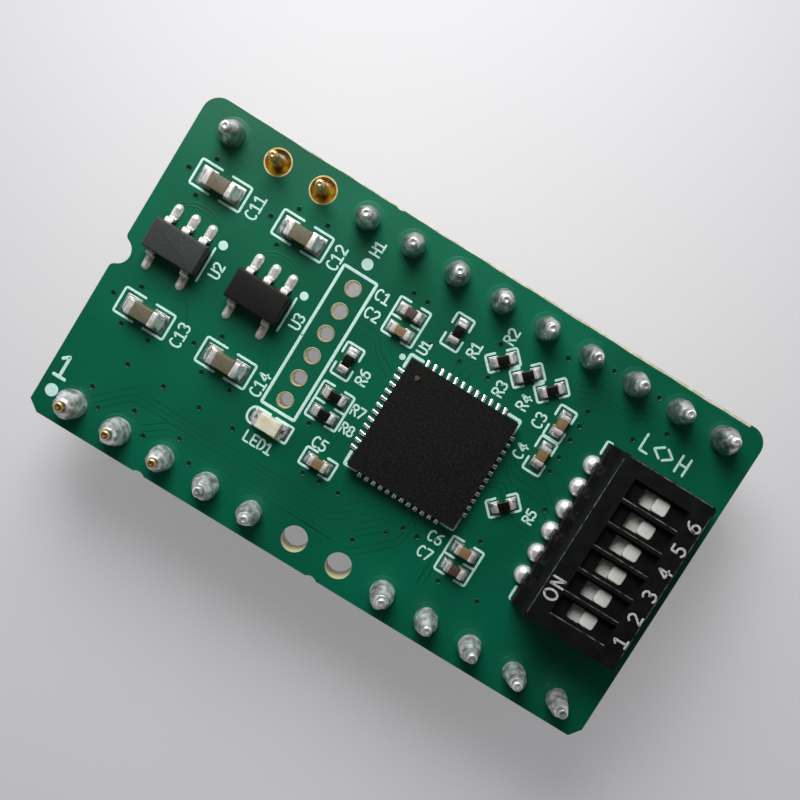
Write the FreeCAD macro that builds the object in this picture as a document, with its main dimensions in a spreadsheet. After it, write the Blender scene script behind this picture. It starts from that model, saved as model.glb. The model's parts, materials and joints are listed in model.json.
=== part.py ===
import FreeCAD, Part
import Sketcher
import os
import re

# A plug-in logic module the size of a 24-pin dual in-line package, in millimetres.
# The origin is at the centre of the board's outline, at the height of the pins' lower ends.
# +X runs along the board towards the six-way switch, +Y towards pins 13 to 24, +Z up.

Vector = FreeCAD.Vector
Rotation = FreeCAD.Rotation
document = FreeCAD.newDocument("PlugInLogicModule")

# ---------------------------------------------------------------- driving sizes

SIZES = {
    # the pins and the field that they stand in
    "pin_pitch": 2.54,
    "pin_count": 12,
    "row_space": 15.24,
    "pin_radius": 0.25,
    "tail_length": 3.2,
    "collar_radius": 0.62,
    "collar_below": 1.2,
    "collar_sunk": 0.35,
    "post_above": 2.1,
    "hole_plating": 0.05,
    # the board
    "board_thick": 1.6,
    "end_margin": 1.905,
    "side_margin": 1.27,
    "corner_round": 0.9,
    "corner_cut_along": 0.45,
    "corner_cut_across": 0.6,
    "notch_radius": 0.7,
    "notch_depth": 0.635,
    "notch_lip": 0.3,
    "scar_radius": 0.45,
    "scar_depth": 0.12,
    # the row of six small plated holes, placed in pin pitches along and millimetres across
    "header_pitch": 1.27,
    "header_count": 6,
    "header_hole": 0.375,
    "header_column": -2.04724,
    "header_from_middle": 1.165,
    # the solder round each soldered pin: how far past the hole it wets the board, how much
    # narrower it is at its waist, and the lip that it leaves round the post
    "solder_lap": 0.05,
    "solder_shoulder": 0.14,
    "solder_waist_height": 0.8,
    "solder_height": 1.75,
    "solder_lip": 0.03,
    # the flats that stand for a round where it repeats
    "round_sides": 12,
    # the 48-terminal logic chip
    "logic_side": 6.0,
    "logic_height": 0.85,
    "logic_standoff": 0.05,
    "logic_pitch": 0.4,
    "logic_row_count": 12,
    "logic_terminal_width": 0.2,
    "logic_terminal_under": 0.3,
    "logic_terminal_out": 0.12,
    "logic_pad_side": 4.4,
    "logic_pad_corner": 0.35,
    "logic_mark_radius": 0.14,
    "logic_mark_inset": 0.85,
    "logic_mark_depth": 0.04,
    # the two five-lead regulators
    "regulator_length": 2.9,
    "regulator_width": 1.6,
    "regulator_height": 1.15,
    "regulator_standoff": 0.1,
    "regulator_seam": 0.62,
    "regulator_draft": 7,
    "lead_pitch": 0.95,
    "lead_width": 0.4,
    "lead_thick": 0.14,
    "lead_reach": 1.42,
    "lead_shoulder": 1.0,
    "lead_toe": 0.34,
    # chip capacitors, resistors and the lamp: length, width, height and plated end
    "bulk_long": 1.6,
    "bulk_wide": 0.8,
    "bulk_high": 0.8,
    "bulk_end": 0.33,
    "ceramic_long": 1.0,
    "ceramic_wide": 0.5,
    "ceramic_high": 0.5,
    "ceramic_end": 0.25,
    "resistor_long": 1.0,
    "resistor_wide": 0.5,
    "resistor_high": 0.35,
    "resistor_end": 0.22,
    "end_cap_wall": 0.02,
    "lamp_long": 1.6,
    "lamp_wide": 0.8,
    "lamp_base_high": 0.25,
    "lamp_lens_high": 0.35,
    "lamp_end": 0.22,
    "lamp_scoop": 0.15,
    "lamp_draft": 6,
    # the six-way slide switch
    "switch_from_end": 3.645,
    "switch_pitch": 1.27,
    "way_count": 6,
    "switch_wide": 5.8,
    "switch_end_wall": 0.825,
    "switch_base_high": 0.95,
    "switch_cover_wide": 5.0,
    "switch_high": 2.5,
    "cover_side_wall": 0.55,
    "cover_web": 0.35,
    "cover_corner": 0.2,
    "recess_long": 3.0,
    "recess_wide": 1.06,
    "recess_depth": 0.35,
    "rib_thick": 0.22,
    "rib_clear": 0.03,
    "guide_clear": 0.05,
    "slider_thick": 0.45,
    "slider_clear": 0.05,
    "slider_lap": 0.05,
    "knob_side": 0.74,
    "knob_high": 0.37,
    "knob_travel": 0.72,
    "knob_end_clear": 0.01,
    "knob_side_clear": 0.02,
    "terminal_width": 0.5,
    "terminal_thick": 0.15,
    "terminal_toe": 0.25,
    "open_gap_left": 0.55,
    "open_gap_right": 0.1,
    "wiper_wide": 0.44,
    "wiper_thick": 0.08,
    "wiper_seat": 0.25,
    "wiper_contact": 0.5,
    "wiper_tip": 0.7,
    "wiper_lift": 0.12,
    "wiper_clear": 0.03,
}

sizes = document.addObject("Spreadsheet::Sheet", "Sizes")
for row, (name, size) in enumerate(SIZES.items(), start=1):
    sizes.set(f"A{row}", name)
    sizes.set(f"B{row}", str(size))
    sizes.setAlias(f"B{row}", name)
document.recompute()

# Heights and lengths that follow from the driving sizes, as formulas of their names.
HALF_ROW = "row_space / 2"
BOARD_LONG = "((pin_count - 1) * pin_pitch + 2 * end_margin)"
BOARD_WIDE = "(row_space + 2 * side_margin)"
BOARD_UNDER = "(tail_length + collar_below)"
BOARD_TOP = f"({BOARD_UNDER} + board_thick)"
COLLAR_TOP = f"({BOARD_TOP} - collar_sunk)"
PIN_TIP = f"({BOARD_TOP} + post_above)"
PIN_HOLE = "(collar_radius + hole_plating)"
SOLDER_FOOT = f"({PIN_HOLE} + solder_lap)"
SOLDER_WAIST = f"({SOLDER_FOOT} - solder_shoulder)"
SLOT_LONG = "(knob_side + knob_travel + 2 * knob_end_clear)"
SLOT_WIDE = "(knob_side + 2 * knob_side_clear)"
SLIDER_LONG = f"({SLOT_LONG} + knob_travel + 2 * slider_lap)"
COVER_CEILING = "(switch_high - recess_depth - cover_web)"
SLIDER_TOP = f"({COVER_CEILING} - slider_clear)"
SLIDER_UNDER = f"({SLIDER_TOP} - slider_thick)"
SLIDER_WIDE = "(switch_pitch - rib_thick - 2 * guide_clear)"
SWITCH_LONG = "(way_count * switch_pitch - rib_thick + 2 * switch_end_wall)"


def on_sheet(formula):
    """The formula with every size's name turned into a reference to its cell."""
    return re.sub(r"\b[a-z]+(?:_[a-z]+)+\b", lambda name: "Sizes." + name.group(), formula)


def value(formula):
    """The number that a formula of the sheet's sizes gives now."""
    return float(sizes.evalExpression(on_sheet(formula)))


# ---------------------------------------------------------------- sketches and features

BODIES = []


def new_body(node, x="0", y="0", z="0", turn=0):
    """A sub-part with a Label and a Placement of its own."""
    body = document.addObject("PartDesign::Body", "Body")
    body.Label = node
    body.Placement = FreeCAD.Placement(Vector(0, 0, 0), Rotation(Vector(0, 0, 1), turn))
    for axis, formula in zip("xyz", (x, y, z)):
        body.setExpression(f"Placement.Base.{axis}", on_sheet(formula))
    BODIES.append(body)
    return body


def new_sketch(body, role="XY_Plane", lift="0"):
    """A sketch on one of the body's own origin planes, lifted along the plane's normal."""
    sketch = body.newObject("Sketcher::SketchObject", "Sketch")
    plane = next(item for item in body.Origin.OriginFeatures if item.Role == role)
    sketch.AttachmentSupport = [(plane, "")]
    sketch.MapMode = "FlatFace"
    sketch.setExpression("AttachmentOffset.Base.z", on_sheet(lift))
    return sketch


def hold(sketch, geometry, end, x, y):
    """Ties one point of the sketch to two formulas, measured from the sketch's origin."""
    for kind, formula in (("DistanceX", x), ("DistanceY", y)):
        rule = Sketcher.Constraint(kind, -1, 1, geometry, end, value(formula))
        index = sketch.addConstraint(rule)
        sketch.setExpression(f"Constraints[{index}]", on_sheet(formula))


def outline(sketch, corners):
    """A closed outline of straight lines through corners given as pairs of formulas."""
    points = [Vector(value(x), value(y), 0) for x, y in corners]
    first = sketch.GeometryCount
    for here, there in zip(points, points[1:] + points[:1]):
        sketch.addGeometry(Part.LineSegment(here, there))
    for step, (x, y) in enumerate(corners):
        following = first + (step + 1) % len(corners)
        sketch.addConstraint(Sketcher.Constraint("Coincident", first + step, 2, following, 1))
        hold(sketch, first + step, 1, x, y)


def rectangle(sketch, long, wide, x="0", y="0"):
    """A rectangle centred on x, y."""
    west, east = f"{x} - {long} / 2", f"{x} + {long} / 2"
    south, north = f"{y} - {wide} / 2", f"{y} + {wide} / 2"
    outline(sketch, [(west, south), (east, south), (east, north), (west, north)])


def circle(sketch, radius, x="0", y="0"):
    """A circle centred on x, y."""
    ring = Part.Circle(Vector(value(x), value(y), 0), Vector(0, 0, 1), value(radius))
    index = sketch.addGeometry(ring)
    hold(sketch, index, 3, x, y)
    rule = sketch.addConstraint(Sketcher.Constraint("Radius", index, value(radius)))
    sketch.setExpression(f"Constraints[{rule}]", on_sheet(radius))


def many_sided(sketch, radius, x="0", y="0"):
    """A round drawn with flats, for what repeats and never runs in a true round."""
    sides = int(value("round_sides"))
    corners = []
    for step in range(sides):
        angle = 360 / sides * (step + 0.5)
        corners.append((f"{x} + {radius} * cos({angle})", f"{y} + {radius} * sin({angle})"))
    outline(sketch, corners)


def pad(body, sketch, length, centred=False, draft="0", down=False):
    """Material on the sketch's profile; a draft narrows it as it rises."""
    feature = body.newObject("PartDesign::Pad", "Pad")
    feature.Profile = sketch
    feature.setExpression("Length", on_sheet(length))
    feature.setExpression("TaperAngle", on_sheet(f"-({draft})"))
    feature.SideType = "Symmetric" if centred else "One side"
    feature.Reversed = down
    return feature


def pocket(body, sketch, depth, up=False, centred=False):
    """A cut along the sketch's profile, down unless told otherwise."""
    feature = body.newObject("PartDesign::Pocket", "Pocket")
    feature.Profile = sketch
    feature.setExpression("Length", on_sheet(depth))
    feature.SideType = "Symmetric" if centred else "One side"
    feature.Reversed = up
    return feature


def repeat(body, features, axis, count, pitch, back=False):
    """A row of features along an axis of the last one's sketch: H_Axis, V_Axis or N_Axis."""
    row = body.newObject("PartDesign::LinearPattern", "Row")
    row.Originals = features
    row.Direction = (features[-1].Profile[0], [axis])
    row.Reversed = back
    row.Mode = "Spacing"
    row.setExpression("Occurrences", on_sheet(str(count)))
    row.setExpression("Offset", on_sheet(pitch))
    body.Tip = row


# ---------------------------------------------------------------- the pin field

# Where each row has pins, as the first pin along the row and how many follow on from it.
# Pins 6 and 7 are left out of the near row; pins 22 and 23 of the far row are pressed in bare.
NEAR_ROW = [(1, 5), (8, "pin_count - 7")]
NEAR_EMPTY = [(6, 2)]
FAR_ROW = [(1, "pin_count")]
FAR_SOLDER = [(1, 1), (4, "pin_count - 3")]


def pin_column(number):
    """The x of a pin by its number along its row, counted from 1 at the notched end."""
    return f"(({number}) - 1 - (pin_count - 1) / 2) * pin_pitch"


# ---------------------------------------------------------------- the board


def upright_edges(body, wanted):
    """Names of the shape's upright edges whose place along X and Y passes the test."""
    names = []
    for number, edge in enumerate(body.Shape.Edges, start=1):
        middle = edge.CenterOfMass
        span = edge.BoundBox
        if span.XLength < 1e-6 and span.YLength < 1e-6 and wanted(middle.x, middle.y):
            names.append(f"Edge{number}")
    return names


def circuit_board():
    """The board: rounded and cut corners, end notch, break-off scars, pin and header holes."""
    body = new_body("circuit_board", z=BOARD_UNDER)
    plate = new_sketch(body)
    rectangle(plate, BOARD_LONG, BOARD_WIDE)
    slab = pad(body, plate, "board_thick")
    document.recompute()

    rounded = body.newObject("PartDesign::Fillet", "RoundedCorners")
    rounded.Base = (slab, upright_edges(body, lambda x, y: y > 0))
    rounded.setExpression("Radius", on_sheet("corner_round"))
    document.recompute()

    cut = body.newObject("PartDesign::Chamfer", "CutCorners")
    near_edge = -value(BOARD_WIDE) / 2 + 1e-3
    cut.Base = (rounded, upright_edges(body, lambda x, y: y < near_edge))
    cut.ChamferType = "Two distances"
    cut.setExpression("Size", on_sheet("corner_cut_across"))
    cut.setExpression("Size2", on_sheet("corner_cut_along"))
    document.recompute()

    notch = new_sketch(body)
    circle(notch, "notch_radius", f"notch_depth - notch_radius - {BOARD_LONG} / 2")
    notched = pocket(body, notch, "board_thick", up=True)
    document.recompute()

    lip = body.newObject("PartDesign::Fillet", "NotchLip")
    end = -value(BOARD_LONG) / 2 + 1e-3
    reach = value("notch_radius") + 1e-3
    lip.Base = (notched, upright_edges(body, lambda x, y: x < end and abs(y) < reach))
    lip.setExpression("Radius", on_sheet("notch_lip"))

    scars = new_sketch(body)
    inset = f"({BOARD_WIDE} / 2 + scar_radius - scar_depth)"
    circle(scars, "scar_radius", pin_column("2.77"), f"-{inset}")
    circle(scars, "scar_radius", pin_column("6.67"), f"-{inset}")
    circle(scars, "scar_radius", pin_column("4.43"), inset)
    pocket(body, scars, "board_thick", up=True)

    for side, runs, shape in (
        ("-", NEAR_ROW, many_sided),
        ("-", NEAR_EMPTY, circle),
        ("", FAR_ROW, many_sided),
    ):
        for first, count in runs:
            drilled = new_sketch(body)
            shape(drilled, PIN_HOLE, pin_column(first), side + HALF_ROW)
            hole = pocket(body, drilled, "board_thick", up=True)
            repeat(body, [hole], "H_Axis", count, "pin_pitch")

    header = new_sketch(body)
    middle = "header_from_middle - (header_count - 1) / 2 * header_pitch"
    circle(header, "header_hole", "header_column * pin_pitch", middle)
    hole = pocket(body, header, "board_thick", up=True)
    repeat(body, [hole], "V_Axis", "header_count", "header_pitch")


# ---------------------------------------------------------------- pins and their solder

def pins(node, side, runs):
    """Turned pins: a thin tail that plugs in, a collar pressed into the board, and a thin post."""
    body = new_body(node, y=side + HALF_ROW)
    for first, count in runs:
        x = pin_column(first)
        tail = new_sketch(body)
        circle(tail, "pin_radius", x)
        collar = new_sketch(body, lift="tail_length")
        many_sided(collar, "collar_radius", x)
        post = new_sketch(body, lift=COLLAR_TOP)
        many_sided(post, "pin_radius", x)
        turned = [
            pad(body, tail, "tail_length"),
            pad(body, collar, f"{COLLAR_TOP} - tail_length"),
            pad(body, post, f"{PIN_TIP} - {COLLAR_TOP}"),
        ]
        repeat(body, turned, "H_Axis", count, "pin_pitch")


def solder_joints(node, side, runs):
    """Solder that wets the board round a pin and climbs its post, steep at first and then less so."""
    body = new_body(node, y=side + HALF_ROW)
    flat_in = "cos(180 / round_sides)"
    steps = (
        ("0", SOLDER_FOOT, "solder_waist_height", SOLDER_WAIST),
        ("solder_waist_height", SOLDER_WAIST, "solder_height", "(pin_radius + solder_lip)"),
    )
    for first, count in runs:
        x = pin_column(first)
        cone = []
        for low, wide, high, narrow in steps:
            ring = new_sketch(body, lift=f"{BOARD_TOP} + {low}")
            many_sided(ring, wide, x)
            draft = f"atan(({wide} - {narrow}) * {flat_in} / ({high} - {low}))"
            cone.append(pad(body, ring, f"{high} - {low}", draft=draft))
        bore = new_sketch(body, lift=BOARD_TOP)
        many_sided(bore, "pin_radius", x)
        cone.append(pocket(body, bore, "solder_height", up=True))
        repeat(body, cone, "H_Axis", count, "pin_pitch")


# ---------------------------------------------------------------- chips

# What stands on the board is placed on the grid of its pins: in pin pitches along the board from
# its middle, and in millimetres across it.
LOGIC_COLUMN = 0.78740
REGULATOR_COLUMNS = (-5.27559, -3.48425)
REGULATOR_Y = 1.625


def at_column(place):
    """The x of a place that is given in pin pitches from the board's middle."""
    return f"({place} * pin_pitch)"


def logic_chip():
    """A flat square chip on 48 terminals and a centre pad, with a moulded dimple by pin 1."""
    place = {"x": at_column(LOGIC_COLUMN), "z": BOARD_TOP}

    body = new_body("logic_chip_body", **place)
    square = new_sketch(body, lift="logic_standoff")
    rectangle(square, "logic_side", "logic_side")
    pad(body, square, "logic_height - logic_standoff")
    mark = new_sketch(body, lift="logic_height")
    corner = "logic_side / 2 - logic_mark_inset"
    circle(mark, "logic_mark_radius", f"-({corner})", corner)
    pocket(body, mark, "logic_mark_depth")

    terminals = new_body("logic_chip_terminals", **place)
    first = "(logic_row_count - 1) / 2 * logic_pitch"
    long = "(logic_terminal_under + logic_terminal_out)"
    centre = "logic_side / 2 + (logic_terminal_out - logic_terminal_under) / 2"
    for side in ("-", ""):
        for across in (False, True):
            row = new_sketch(terminals)
            if across:
                rectangle(row, "logic_terminal_width", long, f"-{first}", f"{side}({centre})")
            else:
                rectangle(row, long, "logic_terminal_width", f"{side}({centre})", f"-{first}")
            strip = pad(terminals, row, "logic_standoff")
            along = "H_Axis" if across else "V_Axis"
            repeat(terminals, [strip], along, "logic_row_count", "logic_pitch")

    centre_pad = new_body("logic_chip_thermal_pad", **place)
    sketch = new_sketch(centre_pad)
    half = "logic_pad_side / 2"
    cut = f"{half} - logic_pad_corner"
    outline(sketch, [
        (f"-{half}", f"-{half}"),
        (half, f"-{half}"),
        (half, half),
        (f"-({cut})", half),
        (f"-{half}", cut),
    ])
    pad(centre_pad, sketch, "logic_standoff")


def regulator(number, column):
    """A five-lead regulator: a drafted moulded body, and gull-wing leads, three and two."""
    place = {"x": at_column(column), "y": str(REGULATOR_Y), "z": BOARD_TOP}

    body = new_body(f"regulator_{number}_body", **place)
    for height, down in (
        ("regulator_height - regulator_seam", False),
        ("regulator_seam - regulator_standoff", True),
    ):
        seam = new_sketch(body, lift="regulator_seam")
        rectangle(seam, "regulator_length", "regulator_width")
        pad(body, seam, height, draft="regulator_draft", down=down)

    leads = new_body(f"regulator_{number}_leads", **place)
    top = "regulator_seam + lead_thick / 2"
    under = "regulator_seam - lead_thick / 2"
    toe = "lead_reach - lead_toe"
    for side, start, count, pitch in (
        ("", "-lead_pitch", 3, "lead_pitch"),
        ("-", "-lead_pitch", 2, "2 * lead_pitch"),
    ):
        bent = new_sketch(leads, "YZ_Plane", lift=start)
        profile = [
            ("regulator_width / 2", under),
            ("lead_shoulder - lead_thick", under),
            (toe, "0"),
            ("lead_reach", "0"),
            ("lead_reach", "lead_thick"),
            (f"{toe} + lead_thick", "lead_thick"),
            ("lead_shoulder", top),
            ("regulator_width / 2", top),
        ]
        outline(bent, [(f"{side}({out})", height) for out, height in profile])
        lead = pad(leads, bent, "lead_width", centred=True)
        repeat(leads, [lead], "N_Axis", count, pitch)


# ---------------------------------------------------------------- two-ended chips

# Each place is its column, its millimetres across and the turn of the chip's long side.
BULK_CAPACITORS = [
    (-5.19685, 5.22, 0),
    (-3.38976, 5.22, 0),
    (-5.19685, -1.98, 0),
    (-3.38976, -1.98, 0),
]
SMALL_CAPACITORS = [
    (-0.85433, 4.81, 0),
    (-0.85433, 3.79, 0),
    (2.70079, 4.04, 90),
    (2.70079, 2.26, 90),
    (-0.87402, -3.82, 0),
    (2.44094, -3.77, 0),
    (2.44094, -4.77, 0),
]
RESISTORS = [
    (0.09055, 5.23, 90),
    (1.11024, 5.21, 45),
    (1.66142, 5.21, 45),
    (2.20866, 5.21, 45),
    (2.59843, -0.82, 45),
    (-1.41339, 1.23, 90),
    (-1.26378, -0.59, 0),
    (-1.26378, -1.62, 0),
]
LAMP = (-2.06299, -3.42, 0)


def turned(place, along, across):
    """Formulas for the point that lies along and across a chip, from the board's centre."""
    column, y, turn = place
    return (
        f"{at_column(column)} + cos({turn}) * ({along}) - sin({turn}) * ({across})",
        f"{y} + sin({turn}) * ({along}) + cos({turn}) * ({across})",
    )


def two_ended(node, kind, places):
    """Ceramic blocks, one node each, and the plated ends of them all in one node."""
    middle = f"({kind}_long - 2 * {kind}_end)"
    slim = f"({kind}_wide - 2 * end_cap_wall)"
    for number, (column, y, turn) in enumerate(places, start=1):
        body = new_body(f"{node}_{number}", at_column(column), str(y), BOARD_TOP, turn)
        block = new_sketch(body, lift="end_cap_wall")
        rectangle(block, middle, slim)
        pad(body, block, f"{kind}_high - 2 * end_cap_wall")
    ends = new_body(f"{node}_ends", z=BOARD_TOP)
    blocks = new_sketch(ends)
    for place in places:
        for side in ("-", ""):
            inner, outer = f"{side}{middle} / 2", f"{side}{kind}_long / 2"
            corners = [(inner, f"-{kind}_wide / 2"), (outer, f"-{kind}_wide / 2"),
                       (outer, f"{kind}_wide / 2"), (inner, f"{kind}_wide / 2")]
            outline(blocks, [turned(place, along, across) for along, across in corners])
    pad(ends, blocks, f"{kind}_high")


def lamp():
    """A chip lamp: a thin base, a plated end with a half-round scoop each side, and a clear block."""
    column, y, turn = LAMP
    place = (at_column(column), str(y), BOARD_TOP, turn)
    base = new_body("led_base", *place)
    plate = new_sketch(base)
    middle = "(lamp_long - 2 * lamp_end)"
    rectangle(plate, middle, "lamp_wide")
    pad(base, plate, "lamp_base_high")

    ends = new_body("led_terminals", *place)
    blocks = new_sketch(ends)
    for side in ("-", ""):
        rectangle(blocks, "lamp_end", "lamp_wide", f"{side}(lamp_long - lamp_end) / 2")
    pad(ends, blocks, "lamp_base_high")
    scoops = new_sketch(ends)
    for side in ("-", ""):
        circle(scoops, "lamp_scoop", f"{side}lamp_long / 2")
    pocket(ends, scoops, "lamp_base_high", up=True)

    lens = new_body("led_lens", *place)
    block = new_sketch(lens, lift="lamp_base_high")
    rectangle(block, middle, "lamp_wide")
    pad(lens, block, "lamp_lens_high", draft="lamp_draft")


# ---------------------------------------------------------------- the slide switch
# Six ways side by side. In each, a knob on a flat slider carries a bow spring that bridges two
# strips when it is pushed towards -X, and leaves them open at rest.

SWITCH_X = f"({BOARD_LONG} / 2 - switch_from_end)"
FIRST_WAY = "((way_count - 1) / 2 * switch_pitch)"
RIB_LONG = "(switch_cover_wide - 2 * cover_side_wall - 2 * rib_clear)"


def switch_base():
    """The base plate, with a groove for each strip and a rib between neighbouring sliders."""
    body = new_body("switch_base", SWITCH_X, z=BOARD_TOP)
    plate = new_sketch(body)
    rectangle(plate, "switch_wide", SWITCH_LONG)
    pad(body, plate, "switch_base_high")
    rib = new_sketch(body, lift="switch_base_high")
    rectangle(rib, RIB_LONG, "rib_thick", y="-(way_count / 2 - 1) * switch_pitch")
    rib_high = f"{COVER_CEILING} - rib_clear - switch_base_high"
    repeat(body, [pad(body, rib, rib_high)], "V_Axis", "way_count - 1", "switch_pitch")
    grooves = new_sketch(body, lift="switch_base_high")
    half = "terminal_width / 2"
    for outer, inner in (("-switch_wide / 2", "-open_gap_left"), ("switch_wide / 2", "open_gap_right")):
        outline(grooves, [
            (inner, f"-{FIRST_WAY} - {half}"),
            (outer, f"-{FIRST_WAY} - {half}"),
            (outer, f"-{FIRST_WAY} + {half}"),
            (inner, f"-{FIRST_WAY} + {half}"),
        ])
    repeat(body, [pocket(body, grooves, "terminal_thick")], "V_Axis", "way_count", "switch_pitch")


def switch_cover():
    """The moulded cover: a shell over the sliders, with a recess and a slot for each knob."""
    body = new_body("switch_cover", SWITCH_X, z=BOARD_TOP)
    block = new_sketch(body, lift="switch_base_high")
    rectangle(block, "switch_cover_wide", SWITCH_LONG)
    solid = pad(body, block, "switch_high - switch_base_high")
    document.recompute()
    corners = body.newObject("PartDesign::Fillet", "CoverCorners")
    corners.Base = (solid, upright_edges(body, lambda x, y: x > value(SWITCH_X)))
    corners.setExpression("Radius", on_sheet("cover_corner"))
    cavity = new_sketch(body, lift="switch_base_high")
    rectangle(cavity, "(switch_cover_wide - 2 * cover_side_wall)", f"({SWITCH_LONG} - 2 * switch_end_wall)")
    pocket(body, cavity, f"{COVER_CEILING} - switch_base_high", up=True)
    for long, wide, depth in (
        ("recess_long", "recess_wide", "recess_depth"),
        (SLOT_LONG, SLOT_WIDE, "recess_depth + cover_web"),
    ):
        window = new_sketch(body, lift="switch_high")
        rectangle(window, long, wide, y=f"-{FIRST_WAY}")
        repeat(body, [pocket(body, window, depth)], "V_Axis", "way_count", "switch_pitch")


def switch_strips():
    """Strips let into the base, turned down its sides and out along the board, and their solder."""
    leg = "(switch_wide / 2 + terminal_thick)"
    toe = f"({leg} + terminal_toe)"
    strip_under = "(switch_base_high - terminal_thick)"

    strips = new_body("switch_terminals", SWITCH_X, z=BOARD_TOP)
    sketch = new_sketch(strips, "XZ_Plane", lift=FIRST_WAY)
    for side, inner in (("-", "-open_gap_left"), ("", "open_gap_right")):
        bend = f"{side}({leg} - terminal_thick / 2)"
        outline(sketch, [
            (inner, "switch_base_high"),
            (bend, "switch_base_high"),
            (f"{side}{leg}", "switch_base_high - terminal_thick / 2"),
            (f"{side}{leg}", "terminal_thick"),
            (f"{side}{toe}", "terminal_thick"),
            (f"{side}{toe}", "0"),
            (f"{side}switch_wide / 2", "0"),
            (f"{side}switch_wide / 2", strip_under),
            (inner, strip_under),
        ])
    strip = pad(strips, sketch, "terminal_width", centred=True)
    repeat(strips, [strip], "N_Axis", "way_count", "switch_pitch", back=True)

    solder = new_body("switch_solder_joints", SWITCH_X, z=BOARD_TOP)
    sketch = new_sketch(solder, "XZ_Plane", lift=FIRST_WAY)
    for side in ("-", ""):
        outline(sketch, [
            (f"{side}{leg}", "terminal_thick"),
            (f"{side}{toe}", "terminal_thick"),
            (f"{side}{leg}", "terminal_thick + terminal_toe"),
        ])
    wedge = pad(solder, sketch, "terminal_width", centred=True)
    repeat(solder, [wedge], "N_Axis", "way_count", "switch_pitch", back=True)


def switch_way(number):
    """One way: its slider with the knob at the open end of its slot, and the spring below it."""
    y = f"{number - 1} * switch_pitch - {FIRST_WAY}"
    rest = f"{SWITCH_X} + knob_travel / 2"

    slider = new_body(f"switch_slider_{number}", rest, y, BOARD_TOP)
    plate = new_sketch(slider, lift=SLIDER_UNDER)
    rectangle(plate, SLIDER_LONG, SLIDER_WIDE)
    pad(slider, plate, "slider_thick")
    knob = new_sketch(slider, lift=SLIDER_TOP)
    rectangle(knob, "knob_side", "knob_side")
    pad(slider, knob, "knob_high")

    wiper = new_body(f"switch_wiper_{number}", rest, y, BOARD_TOP)
    bow = new_sketch(wiper, "XZ_Plane")
    contact = "(switch_base_high + wiper_clear)"
    upper = [
        ("wiper_seat", SLIDER_UNDER),
        ("wiper_contact", f"{contact} + wiper_thick"),
        ("wiper_tip", f"{contact} + wiper_lift + wiper_thick"),
    ]
    lower = [
        ("wiper_tip", f"{contact} + wiper_lift"),
        ("wiper_contact", contact),
        ("wiper_seat", f"{SLIDER_UNDER} - wiper_thick"),
    ]
    right = upper + lower
    left = [(f"-{along}", height) for along, height in reversed(right)]
    outline(bow, right + left)
    pad(wiper, bow, "wiper_wide", centred=True)


# ---------------------------------------------------------------- build, check and write


def check_and_write():
    """Refuses a failed feature or a bad shape, then writes one STEP file for each sub-part."""
    document.recompute()
    for item in document.Objects:
        if "Invalid" in item.State or "Error" in item.State:
            raise RuntimeError(f"{item.Label} did not build: {item.State}")
    for body in BODIES:
        if body.Shape.isNull() or not body.Shape.isValid() or not body.Shape.Solids:
            raise RuntimeError(f"{body.Label} has no valid solid")
    os.makedirs("parts", exist_ok=True)
    for body in BODIES:
        body.Shape.exportStep(os.path.join("parts", f"{body.Label}.step"))
        print(body.Label, len(body.Shape.Solids), "solids", round(body.Shape.Volume, 4), "mm3")


circuit_board()
pins("pins_1_to_12", "-", NEAR_ROW)
pins("pins_13_to_24", "", FAR_ROW)
solder_joints("solder_joints_1_to_12", "-", NEAR_ROW)
solder_joints("solder_joints_13_to_24", "", FAR_SOLDER)
logic_chip()
for number, column in enumerate(REGULATOR_COLUMNS, start=1):
    regulator(number, column)
two_ended("bulk_capacitor", "bulk", BULK_CAPACITORS)
two_ended("small_capacitor", "ceramic", SMALL_CAPACITORS)
two_ended("chip_resistor", "resistor", RESISTORS)
lamp()
switch_base()
switch_cover()
switch_strips()
for number in range(1, int(value("way_count")) + 1):
    switch_way(number)
check_and_write()
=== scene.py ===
# %% [markdown]
# # A plug-in logic module
#
# The object is a small green circuit board that plugs into a 24-pin socket. It carries a logic
# chip, two regulators, chip capacitors and resistors, a lamp and a six-way slide switch.
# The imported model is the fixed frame: it says where each part is. This script only gives the
# parts their surfaces, so every place below is read from the frame or measured from its middle.

# %% Load the frame
import json
import math

import bmesh
import bpy
import numpy as np
from mathutils import Matrix, Vector


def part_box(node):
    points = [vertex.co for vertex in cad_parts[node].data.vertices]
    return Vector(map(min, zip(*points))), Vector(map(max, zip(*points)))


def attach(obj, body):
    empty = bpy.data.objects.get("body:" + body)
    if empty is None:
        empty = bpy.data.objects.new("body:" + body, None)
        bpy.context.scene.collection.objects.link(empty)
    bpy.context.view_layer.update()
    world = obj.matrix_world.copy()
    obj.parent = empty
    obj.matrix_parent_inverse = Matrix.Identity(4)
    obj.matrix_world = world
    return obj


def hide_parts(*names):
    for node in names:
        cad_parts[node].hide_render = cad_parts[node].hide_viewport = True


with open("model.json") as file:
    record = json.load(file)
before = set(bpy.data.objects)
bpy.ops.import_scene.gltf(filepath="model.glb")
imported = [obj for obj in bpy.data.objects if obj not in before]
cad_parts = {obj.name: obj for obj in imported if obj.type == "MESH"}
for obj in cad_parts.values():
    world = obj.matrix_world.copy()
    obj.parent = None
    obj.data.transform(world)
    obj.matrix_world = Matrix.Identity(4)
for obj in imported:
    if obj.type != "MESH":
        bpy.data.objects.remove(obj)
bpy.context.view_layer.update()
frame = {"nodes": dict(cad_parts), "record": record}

# %% [markdown]
# ## Working in millimetres
#
# A board this small is easier to think about in millimetres, while Blender keeps metres. So
# every shape below is worked out in millimetres, and one function brings it to metres as it
# goes into its mesh. The board's own box gives the heights that everything else stands on.

# %% Heights and places from the frame
MM = 0.001


def node_box(node):
    """The lowest and highest corner of a CAD node, in millimetres."""
    low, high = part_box(node)
    return np.array(low) / MM, np.array(high) / MM


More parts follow.
